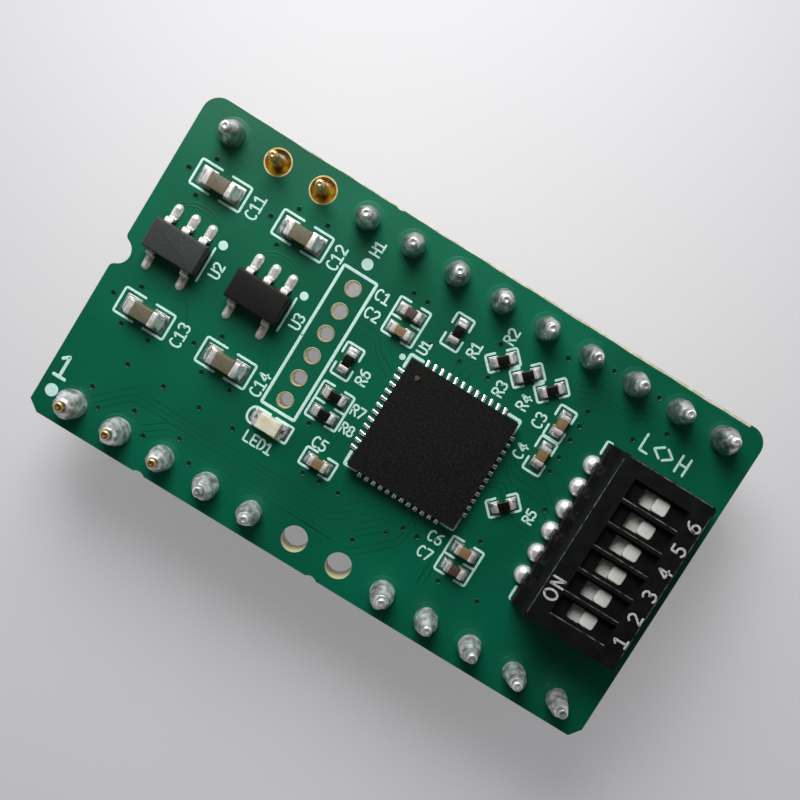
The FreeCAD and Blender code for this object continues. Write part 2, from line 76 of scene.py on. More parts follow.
def node_centre(node):
    """The middle of a CAD node's box, in millimetres."""
    low, high = node_box(node)
    return (low + high) / 2


BOARD_LOW, BOARD_HIGH = node_box("circuit_board")
TOP = BOARD_HIGH[2]
UNDER = BOARD_LOW[2]
print("board", (BOARD_HIGH - BOARD_LOW).round(3), "mm, its top at", TOP.round(3))

# %% [markdown]
# ## The camera
#
# The camera looks almost straight down on the board and is turned about 32 degrees, so the
# board runs from the upper left to the lower right of the frame. Three directions fix a camera:
# what lies to its right, what lies above and what lies behind it. They are the columns of its
# matrix, so nothing has to be turned by trial.

# %% Camera
CAMERA_PLACE = Vector((-1.687, 3.697, 54.672)) * MM
CAMERA_RIGHT = Vector((0.85128, 0.52465, -0.00778))
CAMERA_BACK = Vector((-0.02565, 0.05641, 0.99808))
CAMERA_LENS = 45
NEAREST_SEEN = 1
FARTHEST_SEEN = 2000


def make_camera():
    """A camera at its place whose columns are right, up and back; up is back crossed with right."""
    camera = bpy.data.objects.new("camera", bpy.data.cameras.new("camera"))
    bpy.context.scene.collection.objects.link(camera)
    back = CAMERA_BACK.normalized()
    up = back.cross(CAMERA_RIGHT).normalized()
    right = up.cross(back)
    facing = Matrix((right, up, back)).transposed().to_4x4()
    camera.matrix_world = Matrix.Translation(CAMERA_PLACE) @ facing
    camera.data.lens = CAMERA_LENS
    camera.data.clip_start = NEAREST_SEEN * MM
    camera.data.clip_end = FARTHEST_SEEN * MM
    bpy.context.scene.camera = camera


make_camera()
print("camera", round(CAMERA_PLACE.z / MM, 1), "mm above the pins' tips")

# %% [markdown]
# ## Materials: three small tools
#
# A colour picked from a screen is an sRGB value, and a shader wants linear light, so one
# function turns the one into the other. A second adds a node, sets its values and joins its
# links. A third starts a material on the shader that every finish here is built on.

# %% Colour, node and material helpers


def linear(hex_colour):
    """An sRGB colour such as #1f6f4a as linear red, green, blue and full opacity. The sRGB curve
    is a straight line at its dark foot and a power of 2.4 above it."""
    parts = [int(hex_colour[k:k + 2], 16) / 255 for k in (1, 3, 5)]
    return tuple(c / 12.92 if c <= 0.04045 else ((c + 0.055) / 1.055) ** 2.4 for c in parts) + (1,)


def add_node(tree, kind, inputs=None, **settings):
    """A new node: settings are its own fields, inputs are values or the sockets that feed it."""
    made = tree.nodes.new(kind)
    for name, value in settings.items():
        setattr(made, name, value)
    for name, value in (inputs or {}).items():
        socket = made.inputs[name]
        if isinstance(value, bpy.types.NodeSocket):
            tree.links.new(value, socket)
        else:
            socket.default_value = value
    return made


def new_finish(name, colour, roughness, metallic=0.0, **sockets):
    """A material on one Principled shader. Returns it, its tree, its shader and its own axes."""
    material = bpy.data.materials.new(name)
    material.use_nodes = True
    tree = material.node_tree
    shader = tree.nodes["Principled BSDF"]
    shader.inputs["Base Color"].default_value = linear(colour)
    shader.inputs["Roughness"].default_value = roughness
    shader.inputs["Metallic"].default_value = metallic
    for socket, value in sockets.items():
        shader.inputs[socket.replace("_", " ")].default_value = value
    axes = add_node(tree, "ShaderNodeTexCoord").outputs["Object"]
    return material, tree, shader, axes


print("half grey in linear light is", round(linear("#808080")[0], 3))

# %% [markdown]
# ## Patterns on a surface
#
# No real surface has one even colour, so most finishes let theirs wander between two tones in
# clouds. Some let their roughness wander too, which breaks up a highlight, or add a relief too
# fine to model. Noise textures do all three. Pattern sizes are given in millimetres and turned
# into the texture's scale, which counts per metre.

# %% Pattern helpers
# Most of a noise texture's values lie between these two.
NOISE_LOW = 0.3
NOISE_HIGH = 0.7


def per_metre(size):
    """The texture scale at which a pattern repeats every size millimetres."""
    return 1 / (size * MM)


def mottle(tree, axes, size, colours, spots=(0.35, 0.65), detail=3):
    """Clouds of a size in millimetres that blend between two colours."""
    noise = add_node(tree, "ShaderNodeTexNoise", {"Vector": axes, "Scale": per_metre(size), "Detail": detail})
    ramp = add_node(tree, "ShaderNodeValToRGB", {"Fac": noise.outputs["Fac"]})
    for stop, place, colour in zip(ramp.color_ramp.elements, spots, colours):
        stop.position = place
        stop.color = linear(colour)
    return ramp.outputs["Color"]


def uneven_gloss(tree, shader, axes, size, low, high):
    """Roughness that wanders between two values in clouds of a size in millimetres."""
    noise = add_node(tree, "ShaderNodeTexNoise", {"Vector": axes, "Scale": per_metre(size), "Detail": 2})
    spread = add_node(tree, "ShaderNodeMapRange", {
        "Value": noise.outputs["Fac"], "From Min": NOISE_LOW, "From Max": NOISE_HIGH,
        "To Min": low, "To Max": high,
    })
    tree.links.new(spread.outputs["Result"], shader.inputs["Roughness"])


def grain(tree, shader, axes, size, height, detail=2):
    """A fine relief: bumps of a size and a height, both in millimetres."""
    noise = add_node(tree, "ShaderNodeTexNoise", {"Vector": axes, "Scale": per_metre(size), "Detail": detail})
    relief = {"Height": noise.outputs["Fac"], "Distance": height * MM, "Strength": 1}
    bump = add_node(tree, "ShaderNodeBump", relief)
    tree.links.new(bump.outputs["Normal"], shader.inputs["Normal"])


def clouded_finish(name, colour, tones, cloud, roughness, spots=(0.35, 0.65), detail=3,
                   gloss=None, relief=None, **sockets):
    """A material whose colour wanders between two tones in clouds of a size. gloss is the size of
    the clouds of its roughness and their two values. relief is the size, the height and, if it
    is not the usual one, the detail of its grain. Other shader sockets are given by name."""
    material, tree, shader, axes = new_finish(name, colour, roughness, **sockets)
    tree.links.new(mottle(tree, axes, cloud, tones, spots, detail), shader.inputs["Base Color"])
    if gloss:
        uneven_gloss(tree, shader, axes, *gloss)
    if relief:
        grain(tree, shader, axes, *relief)
    return material


print("clouds 1 mm wide have a scale of", per_metre(1))

# %% [markdown]
# ## The floor
#
# The module stands on its pins on a plain pale floor. A floor under soft light goes grey where
# the board shades it, and a real sheet of foam does so much less, because light spreads inside
# it. A glow would do that, but it would light the board from below as well. So the glow shows
# only to the camera and in glossy finishes, and lights nothing.

# %% Floor
FLOOR_HALF = 600
FLOOR_GLOW = 0.24


def make_floor():
    """A pale sheet of foam under the pins' tips, wide enough to fill every view. Light spreads
    through foam, so its shaded parts stay pale. A low glow that only the camera and mirrorlike
    finishes see does that."""
    half = FLOOR_HALF * MM
    corners = [(-half, -half, 0), (half, -half, 0), (half, half, 0), (-half, half, 0)]
    mesh = bpy.data.meshes.new("floor")
    mesh.from_pydata(corners, [], [(0, 1, 2, 3)])
    floor = bpy.data.objects.new("floor", mesh)
    bpy.context.scene.collection.objects.link(floor)
    material, tree, shader, _ = new_finish("pale_packing_foam", "#cbcacc", 0.9, Specular_IOR_Level=0.1)
    shader.inputs["Emission Color"].default_value = linear("#fbf9fc")
    rays = add_node(tree, "ShaderNodeLightPath").outputs
    kinds = {0: rays["Is Camera Ray"], 1: rays["Is Glossy Ray"]}
    seen = add_node(tree, "ShaderNodeMath", kinds, operation="ADD")
    glow = add_node(tree, "ShaderNodeMath", {0: seen.outputs[0], 1: FLOOR_GLOW}, operation="MULTIPLY")
    tree.links.new(glow.outputs[0], shader.inputs["Emission Strength"])
    mesh.materials.append(material)


make_floor()
print("a floor", 2 * FLOOR_HALF, "mm wide")

# %% [markdown]
# ## Sky and lamp
#
# The light is soft and comes from the far long side of the board, low enough that a flat glossy
# board does not throw it into the camera. The sky is bright near the horizon and dark overhead
# for the same reason: a shiny board that is looked at from above mirrors what is overhead, and a
# dark overhead keeps its green deep.

# %% Sky and lamp
TOWARDS_LIGHT = Vector((-0.53, 0.85, 0))
# The sky fades from its horizon to its overhead strength between these two rises of a direction.
SKY_FADE_STARTS = 0.1
SKY_FADE_ENDS = 0.7
# Directions that go this far towards the light get the near side's share, and as far away from
# it the far side's.
SKY_SIDE = 0.8


def make_sky(overhead, horizon, near_side, far_side):
    """A sky that is dim overhead, brighter towards the horizon, and brighter on the lamp's side:
    the strength by height times a share that follows the direction's part along the light."""
    world = bpy.data.worlds.new("studio")
    world.use_nodes = True
    bpy.context.scene.world = world
    tree = world.node_tree
    direction = add_node(tree, "ShaderNodeTexCoord").outputs["Generated"]
    height = add_node(tree, "ShaderNodeSeparateXYZ", {"Vector": direction}).outputs["Z"]
    strength = add_node(tree, "ShaderNodeMapRange", {
        "Value": height, "From Min": SKY_FADE_STARTS, "From Max": SKY_FADE_ENDS,
        "To Min": horizon, "To Max": overhead,
    }, interpolation_type="SMOOTHSTEP")
    along = add_node(tree, "ShaderNodeVectorMath", {0: direction, 1: TOWARDS_LIGHT}, operation="DOT_PRODUCT")
    share = add_node(tree, "ShaderNodeMapRange", {
        "Value": along.outputs["Value"], "From Min": -SKY_SIDE, "From Max": SKY_SIDE,
        "To Min": far_side, "To Max": near_side,
    })
    factors = {0: strength.outputs["Result"], 1: share.outputs["Result"]}
    total = add_node(tree, "ShaderNodeMath", factors, operation="MULTIPLY")
    background = tree.nodes["Background"]
    background.inputs["Color"].default_value = linear("#f4f6fa")
    tree.links.new(total.outputs[0], background.inputs["Strength"])


def add_lamp(name, along, height, size, watts, spread, aim):
    """A square soft lamp, along and height millimetres from the board's middle. It faces the board
    a little to the lamp's side, aim millimetres, and its light spreads by so many degrees, as
    through a grid, so the floor under the lamp isn't burnt out."""
    lamp = bpy.data.lights.new(name, "AREA")
    lamp.size = size * MM
    lamp.energy = watts
    lamp.spread = math.radians(spread)
    place = TOWARDS_LIGHT * along * MM + Vector((0, 0, height * MM))
    target = TOWARDS_LIGHT * aim * MM + Vector((0, 0, TOP * MM))
    holder = bpy.data.objects.new(name, lamp)
    holder.rotation_mode = "QUATERNION"
    holder.location = place
    holder.rotation_quaternion = (target - place).to_track_quat("-Z", "Y")
    bpy.context.scene.collection.objects.link(holder)


make_sky(overhead=0.03, horizon=0.93, near_side=1.7, far_side=0.34)
add_lamp("window_side", along=54, height=50, size=42, watts=0.0232, spread=120, aim=8)
bpy.context.scene.view_settings.view_transform = "Standard"
print("a sky and one soft lamp")

# %% [markdown]
# ## From sections to a mesh
#
# Nearly every piece here is one idea: a closed section carried along a line. A pin is a circle
# that grows and shrinks on its way up, a moulded body is a rounded rectangle that does the same,
# and a stroke of printed lettering is a low flat section carried along the pen's path. So one
# function skins a stack of sections, and the rest only work out the sections as arrays.

# %% Skinning sections


def skin(sections, closed=False):
    """Joins a stack of closed sections, an array of rows, columns and xyz. Each pair of
    neighbouring points on neighbouring rows gives one four-sided face. The first and last
    sections get a flat cap each, or are joined to each other when the stack is closed."""
    rows, columns = sections.shape[:2]
    number = np.arange(rows * columns).reshape(rows, columns)
    if closed:
        number = np.vstack([number, number[:1]])
    following = np.roll(number, -1, axis=1)
    faces = np.stack([number[:-1], following[:-1], following[1:], number[1:]], axis=-1).reshape(-1, 4)
    caps = [] if closed else [number[:1, ::-1], number[-1:]]
    return sections.reshape(-1, 3), [faces] + caps


def copies(shape, places, turns=0.0):
    """The same shape at every place: its points turned about Z by each turn, then moved."""
    points, faces = shape
    places = np.atleast_2d(places).astype(float)
    turns = np.radians(np.broadcast_to(turns, len(places)))
    x, y, z = points.T
    across = np.cos(turns)[:, None] * x - np.sin(turns)[:, None] * y
    along = np.sin(turns)[:, None] * x + np.cos(turns)[:, None] * y
    moved = np.stack([across, along, np.broadcast_to(z, across.shape)], axis=-1) + places[:, None]
    step = np.arange(len(places))[:, None, None] * len(points)
    return moved.reshape(-1, 3), [(f + step).reshape(-1, f.shape[1]) for f in faces]


def joined(shapes):
    """Several shapes as one, with the corner numbers of each moved past those before it."""
    points, faces, start = [], [], 0
    for shape_points, shape_faces in shapes:
        points.append(shape_points)
        faces += [f + start for f in shape_faces]
        start += len(shape_points)
    return np.concatenate(points), faces


print("a shape is its points and a list of its faces")

# %% [markdown]
# ## From a shape to an object
#
# A mesh is filled fastest with whole arrays, so the points and the faces go in by foreach_set.
# A face must be seen from outside with its corners running anticlockwise, and the sign of the
# solid's volume tells if they do. Each piece then rides a body of the frame, is put in place of
# the nodes that it replaces, and gets its material.

# %% Pieces and dressed nodes


def outward(points, faces):
    """Turns every face round if the solid's volume, summed over a fan of triangles, is negative."""
    volume = 0.0
    for f in faces:
        corners = points[f]
        first = corners[:, :1]
        volume += np.sum(np.cross(corners[:, 1:-1], corners[:, 2:]) * first)
    return faces if volume > 0 else [f[:, ::-1] for f in faces]


def make_piece(name, shape, material, *, body="root", replaces=(), sharp=40):
    """Puts a shape into a mesh of its own, in metres, smooth but for edges over a sharp angle."""
    points, faces = shape
    faces = outward(points, faces)
    corners = np.concatenate([f.ravel() for f in faces])
    counts = np.concatenate([np.full(len(f), f.shape[1]) for f in faces])
    mesh = bpy.data.meshes.new(name)
    mesh.vertices.add(len(points))
    mesh.loops.add(len(corners))
    mesh.polygons.add(len(counts))
    mesh.vertices.foreach_set("co", (points * MM).astype(np.float32).ravel())
    mesh.loops.foreach_set("vertex_index", corners.astype(np.int32))
    mesh.polygons.foreach_set("loop_start", (np.cumsum(counts) - counts).astype(np.int32))
    mesh.polygons.foreach_set("use_smooth", np.ones(len(counts), bool))
    mesh.update(calc_edges=True)
    mesh.set_sharp_from_angle(angle=math.radians(sharp))
    mesh.validate()
    mesh.materials.append(material)
    piece = bpy.data.objects.new(name, mesh)
    bpy.context.scene.collection.objects.link(piece)
    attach(piece, body)
    if replaces:
        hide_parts(*replaces)
    print(name, len(mesh.polygons), "faces")


def dress(nodes, material):
    """Gives CAD nodes, whose shape is already right, a better material."""
    for node in nodes:
        mesh = frame["nodes"][node].data
        mesh.materials.clear()
        mesh.materials.append(material)


print(len(frame["nodes"]), "nodes in the frame")

# %% [markdown]
# ## Turned things and blocks
#
# Turned things are circles of changing radius. Moulded and sawn blocks are rounded rectangles
# whose size shrinks a little at the bottom and the top, which is what a rounded edge is.

# %% Turned things and blocks
EDGE_STEPS = 4
SMALLEST_CORNER = 0.004


def turned(profile, sides):
    """A profile of radius and height pairs carried round Z: x is the radius times the cosine
    of the angle, y the radius times its sine, and z the height."""
    radius, height = np.array(profile, float).T
    angle = np.linspace(0, 2 * np.pi, sides, endpoint=False)
    x = radius[:, None] * np.cos(angle)
    y = radius[:, None] * np.sin(angle)
    return np.stack([x, y, np.broadcast_to(height[:, None], x.shape)], axis=-1)


def rounded_rectangle(half_long, half_wide, corner, steps=5):
    """Four quarter circles, one about each inset corner; the straight sides join them."""
    angle = np.linspace(0, np.pi / 2, steps)[None] + np.arange(4)[:, None] * np.pi / 2
    sign_x = np.array([1, -1, -1, 1])[:, None]
    sign_y = np.array([1, 1, -1, -1])[:, None]
    x = sign_x * (half_long - corner) + corner * np.cos(angle)
    y = sign_y * (half_wide - corner) + corner * np.sin(angle)
    return np.stack([x.ravel(), y.ravel()], axis=-1)


def stacked(outlines, heights):
    """Flat outlines, each at its own height, skinned in their order."""
    flat = np.stack(outlines)
    upright = np.broadcast_to(np.array(heights)[:, None, None], flat.shape[:2] + (1,))
    return skin(np.concatenate([flat, upright], axis=-1))


def block(long, wide, low, high, corner, edge, draft=0.0, seam=None):
    """A block with rounded corners and edges. Going up, each section is inset by a quarter
    circle at the bottom and at the top, and by the draft times its distance from the seam."""
    turn = np.linspace(0, np.pi / 2, EDGE_STEPS)
    rise = np.concatenate([low + edge * (1 - np.cos(turn)), high - edge * (1 - np.cos(turn[::-1]))])
    inset = np.concatenate([edge * (1 - np.sin(turn)), edge * (1 - np.sin(turn[::-1]))])
    if seam is not None:
        middle = len(turn)
        rise = np.insert(rise, middle, seam)
        inset = np.insert(inset, middle, 0)
        inset = inset + draft * np.abs(rise - seam)
    rows = [rounded_rectangle(long / 2 - i, wide / 2 - i, max(corner - i, SMALLEST_CORNER)) for i in inset]
    return stacked(rows, rise)


print("a small block has", len(block(1, 1, 0, 1, corner=0.1, edge=0.1)[0]), "points")

# %% [markdown]
# ## Drawn lines
#
# Printed and plated lines are a flat low section carried along a path. The path's corners are
# softened first. At each end the width falls off as a circle does, so a line ends round, as a
# pen leaves it.

# %% Softened paths and drawn lines
# A bend takes up at most this share of the runs that it joins.
LONGEST_BEND = 0.45
# A line's foot lies this deep in what it is drawn on.
SUNK = 0.01
# A round end stops at this share of its quarter turn, so that it does not shrink to a point.
END_SHARE = 0.97
END_STEPS = 4


def softened(path, radius, steps=4):
    """A path whose corners are rounded: each becomes a curve from a point on the run before to
    a point on the run after, pulled towards the corner by the square of the way along."""
    path = np.array(path, float)
    if len(path) < 3:
        return path
    before, corner, after = path[:-2], path[1:-1], path[2:]
    into, out = before - corner, after - corner
    reach_in = np.minimum(radius / np.linalg.norm(into, axis=1), LONGEST_BEND)[:, None]
    reach_out = np.minimum(radius / np.linalg.norm(out, axis=1), LONGEST_BEND)[:, None]
    start, end = corner + into * reach_in, corner + out * reach_out
    t = np.linspace(0, 1, steps)[None, :, None]
    curve = (1 - t) ** 2 * start[:, None] + 2 * t * (1 - t) * corner[:, None] + t ** 2 * end[:, None]
    return np.concatenate([path[:1], curve.reshape(-1, path.shape[1]), path[-1:]])


def drawn_line(path, width, rise, ground=TOP, slope=0.3):
    """A low flat section carried along a path on level ground: half the width to each side at the
    foot, less by the slope's share at the top. Past each end the path goes on by the half width
    times the sine of an angle while the half width shrinks with its cosine: a round end."""
    path = np.array(path, float)
    half = width / 2
    first = (path[1] - path[0]) / np.linalg.norm(path[1] - path[0])
    last = (path[-1] - path[-2]) / np.linalg.norm(path[-1] - path[-2])
    turn = np.linspace(np.pi / 2 * END_SHARE, 0, END_STEPS, endpoint=False)
    start = path[0] - first * half * np.sin(turn)[:, None]
    end = path[-1] + last * half * np.sin(turn[::-1])[:, None]
    share = np.concatenate([np.cos(turn), np.ones(len(path)), np.cos(turn[::-1])])
    path = np.concatenate([start, path, end])
    heading = np.gradient(path, axis=0)
    heading = heading / np.linalg.norm(heading, axis=1, keepdims=True)
    side = np.stack([-heading[:, 1], heading[:, 0]], axis=-1)
    section = np.array([[-1, 0], [-1 + slope, 1], [1 - slope, 1], [1, 0]])
    offset = side[:, None] * (section[:, 0] * half)[None, :, None] * share[:, None, None]
    flat = path[:, None] + offset
    height = ground - SUNK + np.broadcast_to(section[:, 1] * (rise + SUNK), flat.shape[:2])[..., None]
    return skin(np.concatenate([flat, height], axis=-1))


print("a straight line has", len(drawn_line([(0, 0), (1, 0)], 0.1, 0.1)[0]), "points")

# %% [markdown]
# ## The board and its green mask
#
# The board is woven glass in epoxy, with copper on both faces under a glossy green lacquer, the
# solder mask. The lacquer is a shade darker where it runs over copper, and never quite flat. The
# cut edges and the walls of the two unplated holes show the pale laminate. One material does
# both: faces that look up or down are lacquer and upright ones are laminate.

# %% Solder mask and laminate
# A face counts as flat when the upright part of its normal is larger than this.
FLAT_ENOUGH = 0.5
# The mix node keeps its two colours in these inputs and their mix in this output.
MIX_FIRST, MIX_SECOND, MIX_RESULT = 6, 7, 2


def flat_and_upright(tree, flat, upright):
    """One colour where a face lies flat and another where it stands upright."""
    facing = add_node(tree, "ShaderNodeNewGeometry").outputs["True Normal"]
    rise = add_node(tree, "ShaderNodeSeparateXYZ", {"Vector": facing}).outputs["Z"]
    size = add_node(tree, "ShaderNodeMath", {0: rise}, operation="ABSOLUTE").outputs[0]
    is_flat = add_node(tree, "ShaderNodeMath", {0: size, 1: FLAT_ENOUGH}, operation="GREATER_THAN").outputs[0]
    colours = {"Factor": is_flat, MIX_FIRST: upright, MIX_SECOND: flat}
    return add_node(tree, "ShaderNodeMix", colours, data_type="RGBA").outputs[MIX_RESULT]


def solder_mask():
    """Glossy epoxy lacquer: the eye sees a deep even green with a soft wide sheen."""
    material, tree, shader, axes = new_finish("green_solder_mask_on_laminate", "#07664a", 0.34, IOR=1.5)
    green = mottle(tree, axes, 6.0, ("#005c41", "#016a4c"), detail=2)
    weave = mottle(tree, axes, 0.09, ("#ccc792", "#dfdbb0"))
    tree.links.new(flat_and_upright(tree, green, weave), shader.inputs["Base Color"])
    grain(tree, shader, axes, 1.1, 0.006)
    return material


MASK = solder_mask()
dress(["circuit_board"], MASK)
print("the board wears", MASK.name)

# %% [markdown]
# ## Copper under the lacquer
#
# Tracks are thin copper strips under the lacquer, which levels most of their height, so each
# shows as a faint ridge of a few thousandths of a millimetre. They run from the pins along the
# board and bend towards the chip. Each is a drawn line; a bundle is one line moved sideways.

# %% Tracks
TRACK_WIDTH = 0.16
TRACK_RISE = 0.005
TRACK_BEND = 0.35
TRACK_SLOPE = 0.8

# The same lacquer where it runs over a copper track: a shade darker, and as glossy.
MASK_ON_COPPER = clouded_finish(
    "green_solder_mask_on_copper", "#045a41", ("#015239", "#035f43"), cloud=4.0, roughness=0.34,
    detail=2, relief=(1.1, 0.004), IOR=1.5,
)

# A bundle is its first track's corners from the board's middle, how many tracks, and the step.
TRACK_BUNDLES = [
    ([(-13.3, -6.75), (-11.9, -5.35), (-0.6, -5.35), (1.3, -3.6)], 3, (0.19, -0.27)),
    ([(-10.5, -6.7), (-9.45, -5.9), (-0.1, -6.2), (2.1, -4.3)], 3, (0.2, -0.25)),
    ([(-7.9, -6.55), (-7.2, -6.55), (1.2, -6.7), (3.1, -4.9), (3.1, -3.6)], 2, (0.28, -0.2)),
    ([(6.7, 6.2), (7.6, 6.6), (9.4, 6.6), (10.2, 7.1)], 3, (0.1, -0.3)),
    ([(5.5, 1.9), (6.1, 1.1), (7.9, 1.1), (8.6, 0.5)], 3, (0.05, -0.4)),
    ([(-1.6, 2.0), (-2.4, 2.4), (-3.1, 3.3), (-4.2, 3.3)], 2, (0.0, -0.4)),
    ([(-1.6, -1.2), (-2.1, -2.0), (-2.1, -3.0)], 2, (-0.3, 0.2)),
    ([(-14.4, 3.3), (-13.8, 3.75), (-12.8, 3.75), (-12.2, 3.3)], 2, (0.0, 0.2)),
    ([(-9.9, 3.3), (-9.3, 3.75), (-8.3, 3.75), (-7.7, 3.3)], 2, (0.0, 0.2)),
    ([(-12.5, -0.6), (-11.8, -0.3), (-11.3, -1.2)], 1, (0, 0)),
    ([(-8.0, -0.6), (-7.2, -0.3), (-6.7, -1.2)], 1, (0, 0)),
    ([(1.0, 3.5), (1.0, 4.1), (1.6, 4.6)], 3, (0.4, 0)),
    ([(4.4, -3.6), (5.0, -4.4), (5.0, -6.3)], 2, (0.3, 0.2)),
    ([(5.5, -0.4), (6.0, -0.1), (7.4, -1.6), (8.6, -1.6)], 2, (0.1, 0.3)),
]


def tracks():
    """Every bundle's line, softened at its bends, moved by whole steps and drawn."""
    lines = []
    for corners, count, step in TRACK_BUNDLES:
        path = softened(corners, TRACK_BEND)
        lines += [path + np.array(step) * k for k in range(count)]
    return joined([drawn_line(path, TRACK_WIDTH, TRACK_RISE, slope=TRACK_SLOPE) for path in lines])


make_piece("mask_over_tracks", tracks(), MASK_ON_COPPER)

# %% [markdown]
# ## Vias
#
# A via is a plated hole that takes a track from one face to the other. Here the lacquer runs
# over its rim and sinks into it, so it shows as a dark dot in a low round collar. The collar is
# turned from a small profile; the dark middle is a shallow cup with its own finish.

# %% Vias
VIA_RADIUS = 0.125
VIA_SIDES = 16
# Each profile is radii, as shares of the via's, and heights over the board in millimetres.
VIA_COLLAR = [(0.9, -0.01), (1.45, -0.01), (1.3, 0.012), (1.05, 0.016), (0.9, 0.004)]
VIA_HOLLOW = [(0.95, -0.01), (0.93, 0.004), (0.4, 0.0035)]
VIAS = [
    (-14.97, 5.18), (-14.0, 6.2), (-14.01, 4.2), (-10.4, 5.24), (-9.41, 6.24), (-7.82, 6.29), (-9.45, 4.21),
    (-15.01, -1.92), (-13.99, -0.96), (-13.93, -3.0), (-12.4, -3.03), (-10.43, -1.96), (-9.41, -0.96),
    (-9.38, -2.99), (-7.76, -3.02), (-12.63, -4.55), (-10.62, -4.56), (-8.6, -4.53), (-6.67, -4.54),
    (-13.56, -6.38), (-12.8, -7.13), (-11.21, -6.32), (-10.23, -7.16), (-8.63, -6.35), (-7.62, -7.14),
    (-3.61, -2.36), (-2.61, -4.59), (-1.7, -4.54), (-0.62, -4.55), (1.19, -6.15), (2.38, -4.96),
    (3.0, -4.34), (3.79, -4.35), (-2.57, 5.71), (-1.79, 5.69), (5.46, 6.96), (7.69, 7.61), (10.24, 7.65),
    (1.04, 4.05), (2.31, 5.82), (2.64, 4.12), (-0.57, 4.04), (7.67, 5.26), (7.68, 4.44), (7.66, 3.64),
    (7.65, 2.63), (7.63, 1.81), (8.41, 0.07), (10.24, 5.26), (8.03, -5.54), (6.59, -2.92), (5.85, -5.66),
    (11.51, 6.34),
]


# The bottom of a lacquered hole: hardly any light comes back, so it is a nearly black green.
HOLLOW = clouded_finish(
    "lacquered_hollow", "#02150f", ("#021c13", "#053324"), cloud=0.1, roughness=0.9,
    IOR=1.5, Specular_IOR_Level=0.15,
)


def vias(profile, closed):
    """A profile of shares of the via's radius carried round the middle of every via."""
    one = skin(turned(np.array(profile) * [VIA_RADIUS, 1], VIA_SIDES), closed)
    return copies(one, [(x, y, TOP) for x, y in VIAS])


make_piece("via_collars", vias(VIA_COLLAR, True), MASK_ON_COPPER)
make_piece("via_hollows", vias(VIA_HOLLOW, False), HOLLOW)

# %% [markdown]
# ## Gold lands
#
# Where a pin or a wire is to be soldered, the mask is left open and the copper is plated with a
# thin coat of gold. A land and the plating down its hole are one skin, so one closed profile
# makes both: out along the top, down the wall, and back along the underside.

# %% Plated holes
# The plating stands out from both faces of the board, and its edges are eased.
PLATE_RISE = 0.03
PLATE_EASE = 0.02
# The plating's outer wall keeps this far inside the hole's own wall.
PLATE_PLAY = 0.003
HEADER_RADIUS = 0.375
HEADER_WALL = 0.02
HEADER_RIM = 0.43


def pale_gold_plate():
    """A thin gold flash: a deeper gold on its rim, and on the hole's wall a pale cream that stands in for the
    light falling into the hole: painted light.
    """
    material, tree, shader, axes = new_finish("gold_flash_painted_lit_walls", "#f4e7c4", 0.42, metallic=0.35)
    wall = mottle(tree, axes, 0.3, ("#fbf0d2", "#fff9ea"))
    rim = mottle(tree, axes, 0.3, ("#a18d5a", "#c9bb8b"))
    tree.links.new(flat_and_upright(tree, rim, wall), shader.inputs["Base Color"])
    return material


def plated_hole(hole, wall, rim):
    """Rim and wall as one closed profile, carried round the hole: along the top, down the inner
    wall, back along the underside and up the outer wall."""
    inner, outer = hole - wall, hole - PLATE_PLAY
    top, bottom = TOP + PLATE_RISE, UNDER - PLATE_RISE
    profile = [
        (rim, TOP - SUNK), (rim - PLATE_EASE, top), (inner + PLATE_EASE, top), (inner, top - PLATE_EASE),
        (inner, bottom + PLATE_EASE), (inner + PLATE_EASE, bottom), (rim - PLATE_EASE, bottom),
        (rim, UNDER + SUNK), (outer, UNDER + SUNK), (outer, TOP - SUNK),
    ]
    return skin(turned(profile, sides=48), closed=True)


header_mounts = [mount for mount in frame["record"]["mounts"] if mount["name"].startswith("header")]
header_places = np.array([[*mount["pos_m"][:2], 0] for mount in header_mounts]) / MM
header_lands = copies(plated_hole(HEADER_RADIUS, HEADER_WALL, HEADER_RIM), header_places)
make_piece("header_lands", header_lands, pale_gold_plate())

# %% [markdown]
# ## Pins
#
# The pins are turned from brass and gilded: a thin tail that goes into the socket, a collar
# that stops against the board, and a thin post that stands up through the solder, with a small
# centre dimple left by the lathe. A lathe part is a profile carried round an axis.

# %% Pins
PINS_A_ROW = 12
COLLAR_SIDES = 12
# The near row has no pins in these columns, and the far row's pins in these were left unsoldered.
NEAR_ROW_GAP = [5, 6]
FAR_ROW_OPEN = [1, 2]
PIN_LOW, PIN_HIGH = node_box("pins_13_to_24")
PIN_TIP = PIN_HIGH[2]
# The collar reaches out to the corners of the CAD pin's polygon, whose flats its box measures.
HALF_FLAT = (PIN_HIGH[1] - PIN_LOW[1]) / 2
COLLAR = HALF_FLAT / math.cos(math.pi / COLLAR_SIDES)
COLLAR_TOP = TOP - 0.35
PIN_RADIUS = 0.25
TAIL = 3.2
COLUMNS = np.linspace(PIN_LOW[0] + HALF_FLAT, PIN_HIGH[0] - HALF_FLAT, PINS_A_ROW)
NEAR_Y = node_centre("pins_1_to_12")[1]
FAR_Y = node_centre("pins_13_to_24")[1]
NEAR_COLUMNS = np.delete(COLUMNS, NEAR_ROW_GAP)
FAR_SOLDERED = np.delete(COLUMNS, FAR_ROW_OPEN)
FAR_BARE = COLUMNS[FAR_ROW_OPEN]
print("pins every", (COLUMNS[1] - COLUMNS[0]).round(3), "mm in rows at", NEAR_Y.round(3), FAR_Y.round(3))


def row(columns, y):
    """Places along one row of pins."""
    return np.column_stack([columns, np.full(len(columns), y), np.zeros(len(columns))])


